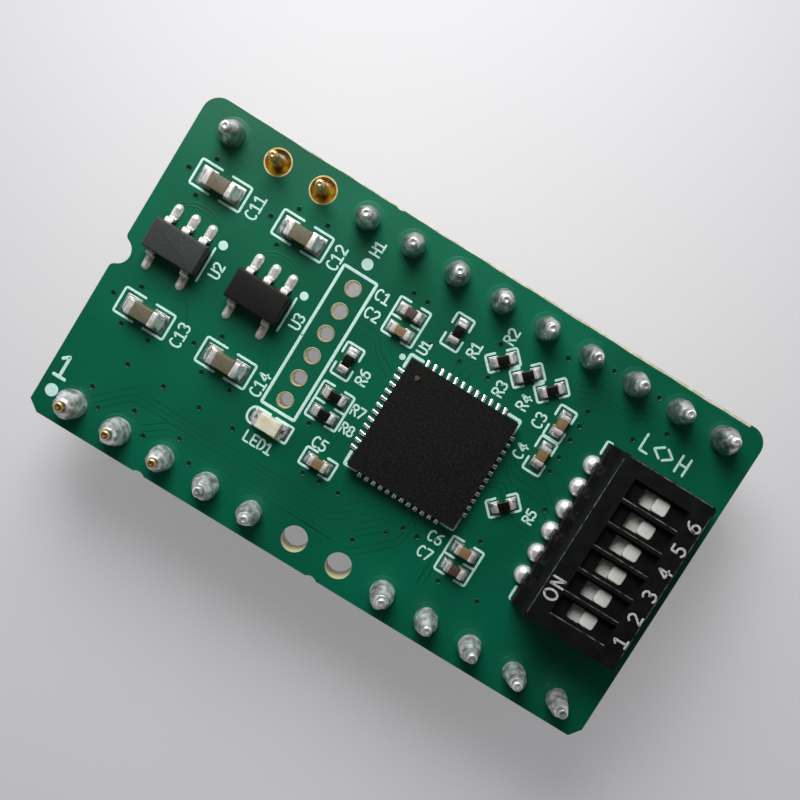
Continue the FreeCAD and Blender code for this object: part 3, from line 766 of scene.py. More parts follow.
def turned_pin():
    """The lathe's profile from the tip of the tail up to the dimple in the post."""
    tail = [(0.1, 0.0), (0.19, 0.02), (0.24, 0.09), (PIN_RADIUS, 0.2), (PIN_RADIUS, TAIL - 0.02)]
    collar = [
        (COLLAR - 0.05, TAIL), (COLLAR, TAIL + 0.05), (COLLAR, COLLAR_TOP - 0.05),
        (COLLAR - 0.05, COLLAR_TOP), (PIN_RADIUS + 0.12, COLLAR_TOP - 0.06),
    ]
    post = [
        (PIN_RADIUS, COLLAR_TOP), (PIN_RADIUS, PIN_TIP - 0.16), (PIN_RADIUS - 0.02, PIN_TIP - 0.08),
        (PIN_RADIUS - 0.07, PIN_TIP - 0.02), (0.13, PIN_TIP),
    ]
    dimple = [(0.09, PIN_TIP - 0.005), (0.07, PIN_TIP - 0.03), (0.02, PIN_TIP - 0.04)]
    return skin(turned(tail + collar + post + dimple, sides=28))


# Turned brass under gold: warm, bright on the post, browner down in the hole.
PIN_METAL = clouded_finish(
    "gold_on_turned_brass", "#d9b880", ("#d0ac6e", "#dfc48f"), cloud=0.5, roughness=0.34,
    gloss=(0.3, 0.28, 0.42), metallic=1.0,
)
pin = turned_pin()
near_pins = copies(pin, row(NEAR_COLUMNS, NEAR_Y))
far_pins = copies(pin, row(COLUMNS, FAR_Y))
make_piece("near_row_pins", near_pins, PIN_METAL, replaces=["pins_1_to_12"])
make_piece("far_row_pins", far_pins, PIN_METAL, replaces=["pins_13_to_24"])

# %% [markdown]
# ## Lands round the pins
#
# Two pins of the far row were never soldered. Their lands show bare gold, and rosin has run into
# the gap between pin and hole and dried there. At the other pins the lacquer laps a little over
# the land, so a low ring of green shows round each joint. All of them are closed profiles turned
# round the pin.

# %% Lands and flux
# Gold over nickel: a warm metal, a little rough, that darkens where it faces the board.
GOLD = clouded_finish(
    "gold_over_nickel", "#e8d3a0", ("#dfc68c", "#f0e0b8"), cloud=0.5, roughness=0.4,
    gloss=(0.3, 0.34, 0.5), metallic=1.0,
)
# Rosin that ran into the open hole and dried: glossy amber over the pin's gold collar.
FLUX = clouded_finish(
    "dried_amber_flux", "#8a6110", ("#5f410a", "#a87c1c"), cloud=0.3, roughness=0.2, IOR=1.5,
)


def flux_ring():
    """Flux round the post: a closed profile between the post and the collar, hollow on top."""
    inner, outer = PIN_RADIUS - 0.01, COLLAR - 0.01
    profile = [
        (inner, TOP - 0.12), (0.34, TOP - 0.2), (0.5, TOP - 0.2), (outer, TOP - 0.06),
        (outer, COLLAR_TOP - 0.03), (inner, COLLAR_TOP - 0.03),
    ]
    return skin(turned(profile, sides=32), closed=True)


def covered_land():
    """A low ring of lacquer over the outer part of a land, closed round the hole."""
    profile = [(0.5, -0.02), (0.86, -0.012), (0.84, 0.012), (0.78, 0.02), (0.5, 0.02)]
    return skin(turned(np.array(profile) + [0, TOP], sides=40), closed=True)


bare_land = plated_hole(hole=COLLAR + 0.05, wall=0.045, rim=0.72)
bare_lands = copies(bare_land, row(FAR_BARE, FAR_Y))
make_piece("bare_pin_lands", bare_lands, GOLD)
make_piece("flux_in_open_holes", copies(flux_ring(), row(FAR_BARE, FAR_Y)), FLUX)
soldered = np.vstack([row(NEAR_COLUMNS, NEAR_Y), row(FAR_SOLDERED, FAR_Y)])
make_piece("covered_pin_lands", copies(covered_land(), soldered), MASK)

# %% [markdown]
# ## Hand-made solder joints
#
# Each soldered pin carries a bulging cone that was fed in by hand, so no two are alike. Solder
# that has set slowly has a satin, cloudy skin with faint ridges that run down from the pin. The
# shape is a circle whose radius follows the height; ridges and lumps are small waves added to
# the radius, each joint with its own phases from one seeded draw.

# %% Solder cones
SOLDER_STEPS = 26
SOLDER_SIDES = 44
# Waves round a joint: how many, and their height in millimetres.
LUMPS = ((2, 0.020), (3, 0.016))
# Ridges: how many, and their height as a share of the row's own ridge height.
RIDGES = ((5, 1), (8, 0.7), (13, 0.4))
# Each joint draws its height and the power of its bulge between these, and its waves' twist in
# radians and its lean in millimetres up to these.
JOINT_TALL = (1.55, 1.8)
JOINT_BULGE = (1.9, 2.6)
MOST_TWIST = 1.5
MOST_LEAN = 0.05
draw = np.random.default_rng(24)


def solder_cones(places, feet, ridge):
    """Radius against height is a bulge: the post's radius, and on it what the foot adds times a
    power of one less a power of the height share. Waves round the axis, whose size falls towards
    the foot and the tip, make the ridges. The radius ends a hair wider than the post."""
    count = len(places)
    share = np.linspace(0, 1, SOLDER_STEPS)[None, :, None]
    angle = np.linspace(0, 2 * np.pi, SOLDER_SIDES, endpoint=False)[None, None]
    foot = np.array(feet)[:, None, None]
    tall = draw.uniform(*JOINT_TALL, (count, 1, 1))
    bulge = draw.uniform(*JOINT_BULGE, (count, 1, 1))
    radius = PIN_RADIUS + 0.02 + (foot - PIN_RADIUS) * (1 - share ** bulge) ** 0.8
    waves = np.zeros((count, SOLDER_STEPS, SOLDER_SIDES))
    for turns, size in LUMPS + tuple((turns, ridge * part) for turns, part in RIDGES):
        phase = draw.uniform(0, 2 * np.pi, (count, 1, 1))
        twist = draw.uniform(-MOST_TWIST, MOST_TWIST, (count, 1, 1))
        waves = waves + size * np.sin(turns * angle + phase + twist * share)
    radius = radius + waves * np.sin(np.pi * np.clip(share * 1.05, 0, 1)) ** 0.6
    lean = draw.uniform(-MOST_LEAN, MOST_LEAN, (count, 2, 1, 1))
    swell = np.sin(np.pi * share)
    x = radius * np.cos(angle) + lean[:, 0] * swell + places[:, 0, None, None]
    y = radius * np.sin(angle) + lean[:, 1] * swell + places[:, 1, None, None]
    z = TOP + 0.01 + tall * share + np.zeros_like(x)
    return joined([skin(cone) for cone in np.stack([x, y, z], axis=-1)])


def satin_solder(name, dark, light, metallic):
    """Tin solder that set slowly under a skin of flux and oxide: the skin scatters part of the
    light, so the joint looks pale grey and frosted, with cloudy patches, more than mirror-like."""
    return clouded_finish(
        name, light, (dark, light), cloud=0.4, roughness=0.34, detail=4,
        gloss=(0.3, 0.24, 0.42), relief=(0.2, 0.03, 3), metallic=metallic,
    )


# The near row's cones and all the tinned tips are painted lighter, a white top tone on less metal, to stand
# in for the fill light that the shaded near side lacks: painted light. The far row's cones keep a darker,
# more mirror-like grey.
LIGHTENED_SOLDER = satin_solder("hand_fed_solder_painted_light", "#8f9190", "#ffffff", 0.6)
GREY_SOLDER = satin_solder("hand_fed_tin_solder_grey", "#8f9292", "#d4d6d6", 0.92)
# The radius of each joint's foot along its row.
NEAR_FEET = [0.72, 0.68, 0.62, 0.64, 0.58, 0.62, 0.58, 0.56, 0.54, 0.53]
FAR_FEET = [0.6, 0.6, 0.59, 0.61, 0.59, 0.58, 0.6, 0.62, 0.62, 0.66]
near_cones = solder_cones(row(NEAR_COLUMNS, NEAR_Y), NEAR_FEET, ridge=0.024)
far_cones = solder_cones(row(FAR_SOLDERED, FAR_Y), FAR_FEET, ridge=0.010)
make_piece("near_row_solder", near_cones, LIGHTENED_SOLDER,
           replaces=["solder_joints_1_to_12"], sharp=60)
make_piece("far_row_solder", far_cones, GREY_SOLDER,
           replaces=["solder_joints_13_to_24"], sharp=60)

# %% [markdown]
# ## Tinned tips
#
# Above its cone a post wears a thin coat of the same solder, which rounds over the rim and fills
# the bottom of the dimple. The first posts of the near row kept their gold, because the solder
# did not climb so far there.

# %% Tinned tips
BARE_POSTS = 3


def tinned_tips(places):
    """The coat on the post above each cone, turned from a profile that rounds over the rim and
    fills the dimple's bottom. Its heights are measured from the post's tip."""
    coat = PIN_RADIUS + 0.015
    profile = [
        (coat + 0.03, -0.62), (coat + 0.012, -0.45), (coat, -0.15), (coat - 0.02, -0.06),
        (coat - 0.07, 0.005), (0.15, 0.02), (0.11, 0.016), (0.08, -0.005), (0.02, -0.012),
    ]
    return copies(skin(turned(np.array(profile) + [0, PIN_TIP], sides=28)), places)


tinned = np.vstack([row(NEAR_COLUMNS[BARE_POSTS:], NEAR_Y), row(FAR_SOLDERED, FAR_Y)])
make_piece("tinned_pin_tips", tinned_tips(tinned), LIGHTENED_SOLDER)

# %% [markdown]
# ## Reflowed solder and tin plate
#
# The small parts were soldered all at once in an oven. Their solder is shinier than the hand-made
# joints and pulls itself into small smooth slopes and domes. The ends and leads of the parts are
# plated with matt tin. All of it is metal, told apart by how rough and how even it is.

# %% Tin and reflowed solder
# Matt tin over nickel: pale warm grey, with a soft broken shine.
TIN = clouded_finish(
    "matt_tin_plate", "#e2dfd8", ("#d0ccc2", "#f3f1ec"), cloud=0.25, roughness=0.6,
    gloss=(0.2, 0.5, 0.68), metallic=0.8,
)
# Solder that set quickly in the oven: bright, smooth and mirror-like in small patches.
BRIGHT_SOLDER = clouded_finish(
    "reflowed_tin_solder", "#dedfdd", ("#c5c7c5", "#efefee"), cloud=0.25, roughness=0.25,
    gloss=(0.25, 0.28, 0.42), metallic=1.0,
)
# Solder gone satin as it set: broad white highlights without a mirror's dark patches.
SATIN_TIN = clouded_finish(
    "satin_reflowed_solder", "#f4f3f1", ("#e8e7e4", "#fefefd"), cloud=0.2, roughness=0.36,
    gloss=(0.2, 0.28, 0.44), metallic=0.62,
)
SLOPE_COLUMNS = 9
# At its two sides a slope keeps this share of its height, and loses this share of its reach.
SIDE_SHARE = 0.12
# A slope's back lies this deep in the end that it climbs.
SLOPE_BACK = 0.02


def solder_slope(width, high, reach, foot, steps=9, power=2.0):
    """Solder that climbs an end face at x = 0 and runs out along +X for reach. Its height is high
    times a power of one less the way out, and falls off to each side with the fourth power of
    the way across. Each section across is closed below and behind."""
    out = np.linspace(0, 1, steps)
    side = np.linspace(-1, 1, SLOPE_COLUMNS)[:, None]
    crown = SIDE_SHARE + (1 - SIDE_SHARE) * (1 - np.abs(side) ** 4)
    height = foot + (high - foot) * (1 - out[None]) ** power * crown
    x = np.broadcast_to(out * reach, height.shape) * (1 - SIDE_SHARE * np.abs(side) ** 3)
    behind = np.full_like(side, -SLOPE_BACK)
    below = np.full_like(side, -SUNK)
    x = np.concatenate([x, x[:, -1:], behind, behind], axis=1)
    z = np.concatenate([height, below, below, height[:, :1]], axis=1)
    y = np.broadcast_to(side * width / 2, x.shape)
    return skin(np.stack([x, y, z], axis=-1))


print("tin and solder:", TIN.name, BRIGHT_SOLDER.name, SATIN_TIN.name)

# %% [markdown]
# ## Chip capacitors and resistors
#
# A chip capacitor is a fired ceramic block with a plated cap on each end; a resistor is a flat
# ceramic chip with a black glaze on top. Each place and turn comes from the CAD node: the longer
# side of its box is the chip's long side, and a square box means that the chip is turned by 45
# degrees.

# %% Ceramic, glaze and places
# A box whose two sides differ by less than this, in millimetres, is a square one.
SQUARE_WITHIN = 0.02


def fired_ceramic(name, light, dark):
    """Fired ceramic: dull and fine-grained, olive, buff or dark brown."""
    return clouded_finish(
        name, light, (dark, light), cloud=0.12, roughness=0.5, relief=(0.04, 0.003), IOR=1.6,
    )


TAN_CERAMIC = fired_ceramic("olive_brown_ceramic", "#6c664c", "#605a42")
BUFF_CERAMIC = fired_ceramic("buff_brown_ceramic", "#90754f", "#7f6744")
DARK_CERAMIC = fired_ceramic("dark_brown_ceramic", "#5b4038", "#422d27")
# Glass glaze over a resistor's film: black and smooth.
GLAZE = clouded_finish(
    "black_glass_glaze", "#0b0b0d", ("#070708", "#121214"), cloud=0.2, roughness=0.3,
    relief=(0.05, 0.002), IOR=1.5,
)


def chip_places(kind, count):
    """Middle and turn of each numbered chip: 45 degrees where its box is square."""
    places, turns = [], []
    for number in range(1, count + 1):
        low, high = node_box(f"{kind}_{number}")
        wide, deep = (high - low)[:2]
        turn = 45 if abs(wide - deep) < SQUARE_WITHIN else 0 if wide > deep else 90
        places.append([*((low + high) / 2)[:2], TOP])
        turns.append(turn)
    return np.array(places), np.array(turns)


print("chip finishes:", TAN_CERAMIC.name, BUFF_CERAMIC.name, DARK_CERAMIC.name, GLAZE.name)

# %% [markdown]
# ## Two-ended chips
#
# All these chips are one shape in three sizes: a block with a cap on each end, two tinned lands
# under it, and solder that slopes from the lands up its ends. So one function makes a kind from
# its sizes. Each block is a piece of its own; all the caps of a kind are one piece, and so is
# all its solder.

# %% Two-ended chips
# A plated end stands proud of the block by this much, and is rounder by this factor.
CAP_PROUD = 0.02
CAP_ROUNDER = 1.6
# A land goes on under its chip for this much more than the plated end, and stands this high.
LAND_UNDER = 0.12
LAND_RISE = 0.03
# Lands and drops of solder reach this deep into the board.
SOLDER_SUNK = 0.02
# A slope's width and height are these shares of its chip's, and it stops this far inside its land.
SLOPE_WIDE = 0.96
SLOPE_HIGH = 0.72
SLOPE_SHORT = 0.03
SLOPE_FOOT = 0.04


def both_ends(shape, along):
    """A shape made for the +X end, moved out to it, and its half turn for the -X end."""
    points, faces = shape
    points = points + [along, 0, 0]
    return joined([(points, faces), (points * [-1, -1, 1], faces)])


def tinned_land(long, wide):
    """The thin coat of solder over a land, sunk a little into the board."""
    return block(long, wide, -SOLDER_SUNK, LAND_RISE, corner=0.06, edge=0.015)


def two_ended(kind, size, end, land, finishes, corner=0.03):
    """Blocks, plated ends, lands and solder of one kind of chip. size is its length, width and
    height, end the length of a plated end, land the reach and width of the copper under it."""
    long, wide, high = size
    reach, land_wide = land
    places, turns = chip_places(kind, len(finishes))
    middle = block(long - 2 * end + 2 * CAP_PROUD, wide - 2 * CAP_PROUD, CAP_PROUD, high - CAP_PROUD,
                   corner, corner)
    for number, (place, turn, finish) in enumerate(zip(places, turns, finishes), start=1):
        make_piece(f"{kind}_{number}_block", copies(middle, place, turn), finish,
                   replaces=[f"{kind}_{number}"])
    cap = block(end, wide, 0, high, corner * CAP_ROUNDER, corner * CAP_ROUNDER)
    caps = both_ends(cap, long / 2 - end / 2)
    make_piece(f"{kind}_caps", copies(caps, places, turns), TIN,
               replaces=[f"{kind}_ends"])
    foot = tinned_land(reach - long / 2 + end + LAND_UNDER, land_wide)
    feet = both_ends(foot, (reach + long / 2 - end - LAND_UNDER) / 2)
    slope = solder_slope(width=wide * SLOPE_WIDE, high=high * SLOPE_HIGH,
                         reach=reach - long / 2 - SLOPE_SHORT, foot=SLOPE_FOOT)
    solder = joined([feet, both_ends(slope, long / 2)])
    make_piece(f"{kind}_solder", copies(solder, places, turns), BRIGHT_SOLDER)


small = [DARK_CERAMIC] + [BUFF_CERAMIC] * 5 + [DARK_CERAMIC]
two_ended("bulk_capacitor", size=(1.6, 0.8, 0.8), end=0.33, land=(1.18, 0.96),
          finishes=[TAN_CERAMIC] * 4, corner=0.05)
two_ended("small_capacitor", size=(1.0, 0.5, 0.5), end=0.25, land=(0.72, 0.6),
          finishes=small)
two_ended("chip_resistor", size=(1.0, 0.5, 0.35), end=0.22, land=(0.72, 0.6),
          finishes=[GLAZE] * 8)

# %% [markdown]
# ## The logic chip
#
# The chip is a flat square of black moulded epoxy, sawn from a sheet, so its edges are sharp and
# the CAD body is already right. Its 48 terminals show as short bright bars of solder round it.
# The moulding holds glass grains that give it a fine dull speckle.

# %% Logic chip


def epoxy_moulding(name, colour, dark, roughness):
    """Moulded epoxy filled with glass grains: black, matt, finely speckled."""
    return clouded_finish(
        name, colour, (dark, colour), cloud=0.09, roughness=roughness, spots=(0.48, 0.72), detail=6,
        relief=(0.05, 0.006, 4), IOR=1.5, Specular_IOR_Level=0.2,
    )


dress(["logic_chip_body"], epoxy_moulding("sawn_epoxy_moulding", "#282725", "#0c0c0b", 0.6))
dress(["logic_chip_terminals", "logic_chip_thermal_pad"], TIN)

CHIP_LOW, CHIP_HIGH = node_box("logic_chip_body")
CHIP_MIDDLE = (CHIP_LOW + CHIP_HIGH) / 2
CHIP_HALF = (CHIP_HIGH - CHIP_LOW)[0] / 2
TERMINAL_PITCH = 0.4
TERMINALS_A_SIDE = 12
# The mark's middle lies this far inside both sides of the chip.
MARK_INSET = 0.68
MARK_RADIUS = 0.12
MARK_SIDES = 20
MARK_SUNK = 0.004
MARK_RISE = 0.006


def terminal_bars():
    """One solder bar for a terminal, repeated along a side and turned to the four sides. Each
    slopes evenly down from the body, so the two sides that face the light shine."""
    bar = solder_slope(width=0.21, high=0.2, reach=0.33, foot=0.05, steps=5, power=1.1)
    step = (np.arange(TERMINALS_A_SIDE) - (TERMINALS_A_SIDE - 1) / 2) * TERMINAL_PITCH
    side = copies(bar, np.column_stack([np.full_like(step, CHIP_HALF + 0.01), step, np.zeros_like(step)]))
    four = joined([copies(side, [0, 0, 0], turn) for turn in (0, 90, 180, 270)])
    return copies(four, [*CHIP_MIDDLE[:2], TOP])


def first_terminal_mark():
    """A small worn round of paint at the corner by the first terminal: a circle whose radius
    wanders by two sines, drawn in a little at its top."""
    angle = np.linspace(0, 2 * np.pi, MARK_SIDES, endpoint=False)
    radius = MARK_RADIUS + 0.02 * np.sin(3 * angle) + 0.012 * np.sin(7 * angle + 1)
    rim = np.stack([radius * np.cos(angle), radius * np.sin(angle)], axis=-1)
    mark = stacked([rim, rim * 0.96, rim * 0.3], [-MARK_SUNK, MARK_RISE, MARK_RISE])
    return copies(mark, [CHIP_LOW[0] + MARK_INSET, CHIP_HIGH[1] - MARK_INSET, CHIP_HIGH[2]])


# Thin paint rubbed into a matt moulding: dull straw grey.
WORN_PAINT = clouded_finish(
    "worn_straw_paint", "#6b6449", ("#302e28", "#6a6452"), cloud=0.08, roughness=0.7, IOR=1.5,
)
make_piece("logic_chip_solder", terminal_bars(), BRIGHT_SOLDER)
make_piece("logic_chip_mark", first_terminal_mark(), WORN_PAINT)

# %% [markdown]
# ## Gull wing leads
#
# A regulator's flat leads are bent twice, like a gull's wing: out of the body, down, and out
# again as a foot. A lead is a flat section carried along that line in the upright plane, and its
# bends are rounded as sheet metal's are. A drop of solder sits on each foot.

# %% Bent leads and their drops
# The leads leave the body at this height over the board, where the halves of its mould met.
SEAM = 0.62
LEAD_THICK = 0.14
LEAD_WIDE = 0.4
LEAD_BEND = 0.13
# A lead starts inside the body, goes straight out to its first bend, and ends in a flat foot.
LEAD_START = 0.72
LEAD_FIRST_BEND = 0.97
LEAD_FOOT = 0.42
DROP_STEPS = 8
# A drop's sections stop at this share of the quarter turn, so that the last is a small flat top.
DROP_SHARE = 0.96


def bent_lead(reach):
    """A rectangle of lead section carried along a softened line: out of the body, down and out
    again. Each section stands square to the line, in the plane of Y and Z."""
    low = LEAD_THICK / 2
    corners = [(LEAD_START, SEAM), (LEAD_FIRST_BEND, SEAM), (reach - LEAD_FOOT, low), (reach, low)]
    line = softened(corners, LEAD_BEND, steps=5)
    heading = np.gradient(line, axis=0)
    heading /= np.linalg.norm(heading, axis=1, keepdims=True)
    square = np.stack([-heading[:, 1], heading[:, 0]], axis=-1)
    flat = rounded_rectangle(LEAD_WIDE / 2, LEAD_THICK / 2, 0.03, steps=3)
    y = line[:, None, 0] + square[:, None, 0] * flat[None, :, 1]
    z = line[:, None, 1] + square[:, None, 1] * flat[None, :, 1]
    x = np.broadcast_to(flat[None, :, 0], y.shape)
    return skin(np.stack([x, y, z], axis=-1))


def solder_drop(long, wide, high):
    """A low dome: its outline is a rounded bar, and its height is a quarter ellipse inwards."""
    turn = np.linspace(0, np.pi / 2 * DROP_SHARE, DROP_STEPS)
    inset = (1 - np.cos(turn)) * wide / 2
    rows = [rounded_rectangle(long / 2 - i, wide / 2 - i, (wide / 2 - i) * 0.98) for i in inset]
    return stacked([rows[0]] + rows, [-SOLDER_SUNK, *(np.sin(turn) * high)])


print("a lead is", LEAD_WIDE, "mm wide and", LEAD_THICK, "mm thick")

# %% [markdown]
# ## The two regulators
#
# Each regulator is a small moulded body with tapered sides and softly rounded edges. Three leads
# stand on one side and two on the other. The body is a block whose sections shrink away from the
# seam, as they must to come out of a mould, and the leads are turned copies of one.

# %% Regulators
LEAD_PITCH = 0.95
# The first three leads have full drops of solder, the other two lean ones: length, width, height.
FULL_DROP = (0.86, 0.5, 0.2)
LEAN_DROP = (0.8, 0.43, 0.17)
# A drop's middle lies this far inside its lead's toe.
DROP_INSET = 0.02


def regulator(number, finish):
    """Body, leads and solder of one regulator, placed by its CAD body's box."""
    name = f"regulator_{number}"
    low, high = node_box(f"{name}_body")
    lead_low, lead_high = node_box(f"{name}_leads")
    middle = [*((low + high) / 2)[:2], TOP]
    long, wide = (high - low)[:2]
    body = block(long, wide, low[2] - TOP, high[2] - TOP, corner=0.07, edge=0.05, draft=0.12, seam=SEAM)
    make_piece(f"{name}_moulding", copies(body, middle), finish,
               replaces=[f"{name}_body"], sharp=50)
    reach = (lead_high - lead_low)[1] / 2
    near = [([step * LEAD_PITCH, 0, 0], 0) for step in (-1, 0, 1)]
    far = [([step * LEAD_PITCH, 0, 0], 180) for step in (-1, 1)]
    leads = joined([copies(bent_lead(reach), place, turn) for place, turn in near + far])
    make_piece(f"{name}_bent_leads", copies(leads, middle), TIN,
               replaces=[f"{name}_leads"])
    # The three drops on the lamp's side get the bright satin solder and the two on the side away from it the
    # duller matt tin: painted light and shade on one solder.
    for piece, size, places, metal in (("solder", FULL_DROP, near, SATIN_TIN),
                                       ("lean_solder", LEAN_DROP, far, TIN)):
        drop = copies(solder_drop(*size), [0, reach - DROP_INSET, 0], 90)
        drops = joined([copies(drop, place, turn) for place, turn in places])
        make_piece(f"{name}_{piece}", copies(drops, middle), metal)


# The first regulator's moulding is a paler grey than the second's.
regulator(1, epoxy_moulding("paler_grey_epoxy_moulding", "#464848", "#3a3c3c", 0.5))
regulator(2, epoxy_moulding("dark_grey_epoxy_moulding", "#221f1e", "#181716", 0.5))

# %% [markdown]
# ## The lamp
#
# The lamp is a block of clear cast epoxy, a little cloudy and yellow, on a thin white base whose
# ends are plated. Light enters it and comes back out warm, so the finish lets some light under
# the surface.

# %% Lamp
# The lamp's lands lie this far from its middle, and the solder slopes down from there.
LAMP_REACH = 0.8

# Clear epoxy cast over a white base: straw coloured, soft inside, glossy outside.
CAST_EPOXY = clouded_finish(
    "cast_clear_epoxy", "#f3e9c9", ("#efe2bc", "#fffaea"), cloud=0.35, roughness=0.22, IOR=1.5,
    Transmission_Weight=0.12, Coat_Weight=0.5,
)
# White laminate: even, slightly rough.
WHITE_LAMINATE = clouded_finish(
    "white_laminate", "#d9d6c8", ("#c9c5b4", "#e3e0d4"), cloud=0.1, roughness=0.5, IOR=1.5,
)


def lamp():
    """The lens as a drafted rounded block, and lands and slopes of solder at its ends."""
    low, high = node_box("led_lens")
    x, y = ((low + high) / 2)[:2]
    long, wide, tall = high - low
    lens = block(long, wide, 0, tall, corner=0.03, edge=0.03, draft=0.08, seam=0.05)
    make_piece("lamp_lens", copies(lens, [x, y, low[2]]), CAST_EPOXY, replaces=["led_lens"])
    lands = both_ends(tinned_land(long=0.42, wide=0.7), LAMP_REACH)
    slopes = both_ends(solder_slope(width=0.6, high=0.2, reach=0.2, foot=SLOPE_FOOT), LAMP_REACH)
    make_piece("lamp_solder", copies(joined([lands, slopes]), [x, y, TOP]), BRIGHT_SOLDER)


lamp()
dress(["led_base"], WHITE_LAMINATE)
dress(["led_terminals"], SATIN_TIN)

# %% [markdown]
# ## The slide switch
#
# The switch's base and cover are black moulded plastic, and their CAD shapes are right: ribs,
# recesses and slots. The knobs are separate white mouldings with rounded edges, and each rides
# on its own body, because it slides. White numbers are printed on the cover.

# %% Switch finishes
WAYS = 6

# Glass-filled plastic from a worn mould: black, half matt, with faint paler scuffs.
BLACK_PLASTIC = clouded_finish(
    "black_moulded_plastic", "#080a09", ("#040505", "#0d0f0e"), cloud=0.8, roughness=0.42, detail=4,
    gloss=(0.5, 0.5, 0.66), relief=(0.06, 0.004), IOR=1.45, Specular_IOR_Level=0.3,
)
# Cream white moulded plastic with a soft sheen.
WHITE_PLASTIC = clouded_finish(
    "white_moulded_plastic", "#faf9f1", ("#f4f3ea", "#fefdf8"), cloud=0.5, roughness=0.34,
    relief=(0.05, 0.002), IOR=1.5,
)
# Tin painted a dull dark grey for the shade that the switch casts on its terminals: painted shade.
SHADE_DARKENED_TIN = clouded_finish(
    "tin_in_painted_shade", "#4a4844", ("#2f2e2c", "#5c5a55"), cloud=0.2, roughness=0.5, metallic=1.0,
)
# Rolled phosphor bronze: a warm brown metal.
BRONZE = clouded_finish(
    "rolled_phosphor_bronze", "#b07a45", ("#98663a", "#c28d55"), cloud=0.1, roughness=0.3, metallic=1.0,
)
dress(["switch_base"], BLACK_PLASTIC)
dress(["switch_terminals"], SHADE_DARKENED_TIN)
dress([f"switch_wiper_{number}" for number in range(1, WAYS + 1)], BRONZE)
print("the switch wears", BLACK_PLASTIC.name)

# %% [markdown]
# ## The switch cover
#
# A sharp corner of plastic is never quite sharp: it catches the light as a thin bright line. So
# the cover is a copy of its CAD mesh with a Bevel modifier on its sharp edges. Its top face is
# let down a little first, to leave room for the print.

# %% Switch cover
# The cover's top lies this much below the CAD cover's, so that the print on it stays inside.
PRINT_ROOM = 0.016
COVER_EASE = 0.03
# Corners closer than this are one corner, and corners this close to the top are on it.
SAME_CORNER = 0.0005
SAME_LEVEL = 0.001
SHARP_EDGE = 40


def eased_copy(name, node, width, finish):
    """A CAD node's mesh with its doubled corners merged, its top face lowered by the room that
    the print needs, and its sharp edges bevelled."""
    mesh = frame["nodes"][node].data.copy()
    mesh.name = name
    build = bmesh.new()
    build.from_mesh(mesh)
    bmesh.ops.remove_doubles(build, verts=build.verts, dist=SAME_CORNER * MM)
    build.to_mesh(mesh)
    build.free()
    corners = np.zeros(len(mesh.vertices) * 3, np.float32)
    mesh.vertices.foreach_get("co", corners)
    height = corners[2::3]
    height -= np.where(height > height.max() - SAME_LEVEL * MM, PRINT_ROOM * MM, 0).astype(np.float32)
    mesh.vertices.foreach_set("co", corners)
    mesh.polygons.foreach_set("use_smooth", np.zeros(len(mesh.polygons), bool))
    mesh.materials.clear()
    mesh.materials.append(finish)
    piece = bpy.data.objects.new(name, mesh)
    bpy.context.scene.collection.objects.link(piece)
    ease = piece.modifiers.new("eased_edges", "BEVEL")
    ease.width = width * MM
    ease.segments = 2
    ease.limit_method = "ANGLE"
    ease.angle_limit = math.radians(SHARP_EDGE)
    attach(piece, "root")
    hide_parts(node)
    print(name, len(mesh.polygons), "faces before its bevel")


eased_copy("eased_switch_cover", "switch_cover", COVER_EASE, BLACK_PLASTIC)

# %% [markdown]
# ## Knobs and solder drops
#
# Each knob is two rounded blocks, the flat slider and the square knob on it, and rides on its
# own way's body. Solder has run up in drops at the toes of the terminals, round on the inner
# side and low at the board's edge.

# %% Knobs and solder drops
SLIDER_THICK = 0.45
KNOB_FOOT = 0.40
KNOB_SIDE = 0.74
# A terminal's toe is this wide, and a drop on it starts this angle below its middle.
TOE = 0.5
DROP_START = -0.3
# A drop's radius and rise, and how far inside the terminals' ends it sits.
ROUND_DROP = (0.49, 0.52, 0.3)
LOW_DROP = (0.24, 0.2, 0.24)
# A drop's middle lies at the first share of its rise, and its dome adds the second.
DROP_MIDDLE = 0.3
DROP_DOME = 0.8


def sliding_knob(number):
    """A flat slider with a square knob on it, both rounded blocks, placed by the CAD slider."""
    low, high = node_box(f"switch_slider_{number}")
    middle = [*((low + high) / 2)[:2], TOP]
    long, wide = (high - low)[:2]
    plate = block(long, wide, low[2] - TOP, low[2] + SLIDER_THICK - TOP, corner=0.06, edge=0.03)
    knob = block(KNOB_SIDE, KNOB_SIDE, low[2] + KNOB_FOOT - TOP, high[2] - TOP, corner=0.15, edge=0.06)
    make_piece(f"knob_{number}", copies(joined([plate, knob]), middle), WHITE_PLASTIC,
               body=f"way_{number}", replaces=[f"switch_slider_{number}"])


def switch_drops():
    """Drops of solder at the terminals' toes: round balls on the inner side, low ones at the
    edge. Each is a part of an ellipse, from a little below its middle up to its top."""
    low, high = node_box("switch_terminals")
    pitch = ((high - low)[1] - TOE) / (WAYS - 1)
    along = low[1] + TOE / 2 + pitch * np.arange(WAYS)
    turn = np.linspace(DROP_START, np.pi / 2 * END_SHARE, 14)
    drops = []
    for (radius, rise, inset), end, inwards in ((ROUND_DROP, low[0], 1), (LOW_DROP, high[0], -1)):
        height = np.maximum(rise * DROP_MIDDLE + rise * DROP_DOME * np.sin(turn), -SUNK)
        profile = np.column_stack([radius * np.cos(turn), height])
        places = np.column_stack([np.full(WAYS, end + inwards * inset), along, np.full(WAYS, TOP)])
        drops.append(copies(skin(turned(profile, sides=24)), places))
    return joined(drops)


for number in range(1, WAYS + 1):
    sliding_knob(number)
make_piece("switch_solder", switch_drops(), SATIN_TIN, replaces=["switch_solder_joints"])

# %% [markdown]
# ## Lettering
#
# The marks on a board look drawn by a pen, with strokes of one width and round ends, as the
# first films for printing them were. So each letter is a few pen strokes on a grid one unit
# high, and each stroke is a drawn line. The marks are plain part letters and numbers.

# %% The pen's alphabet


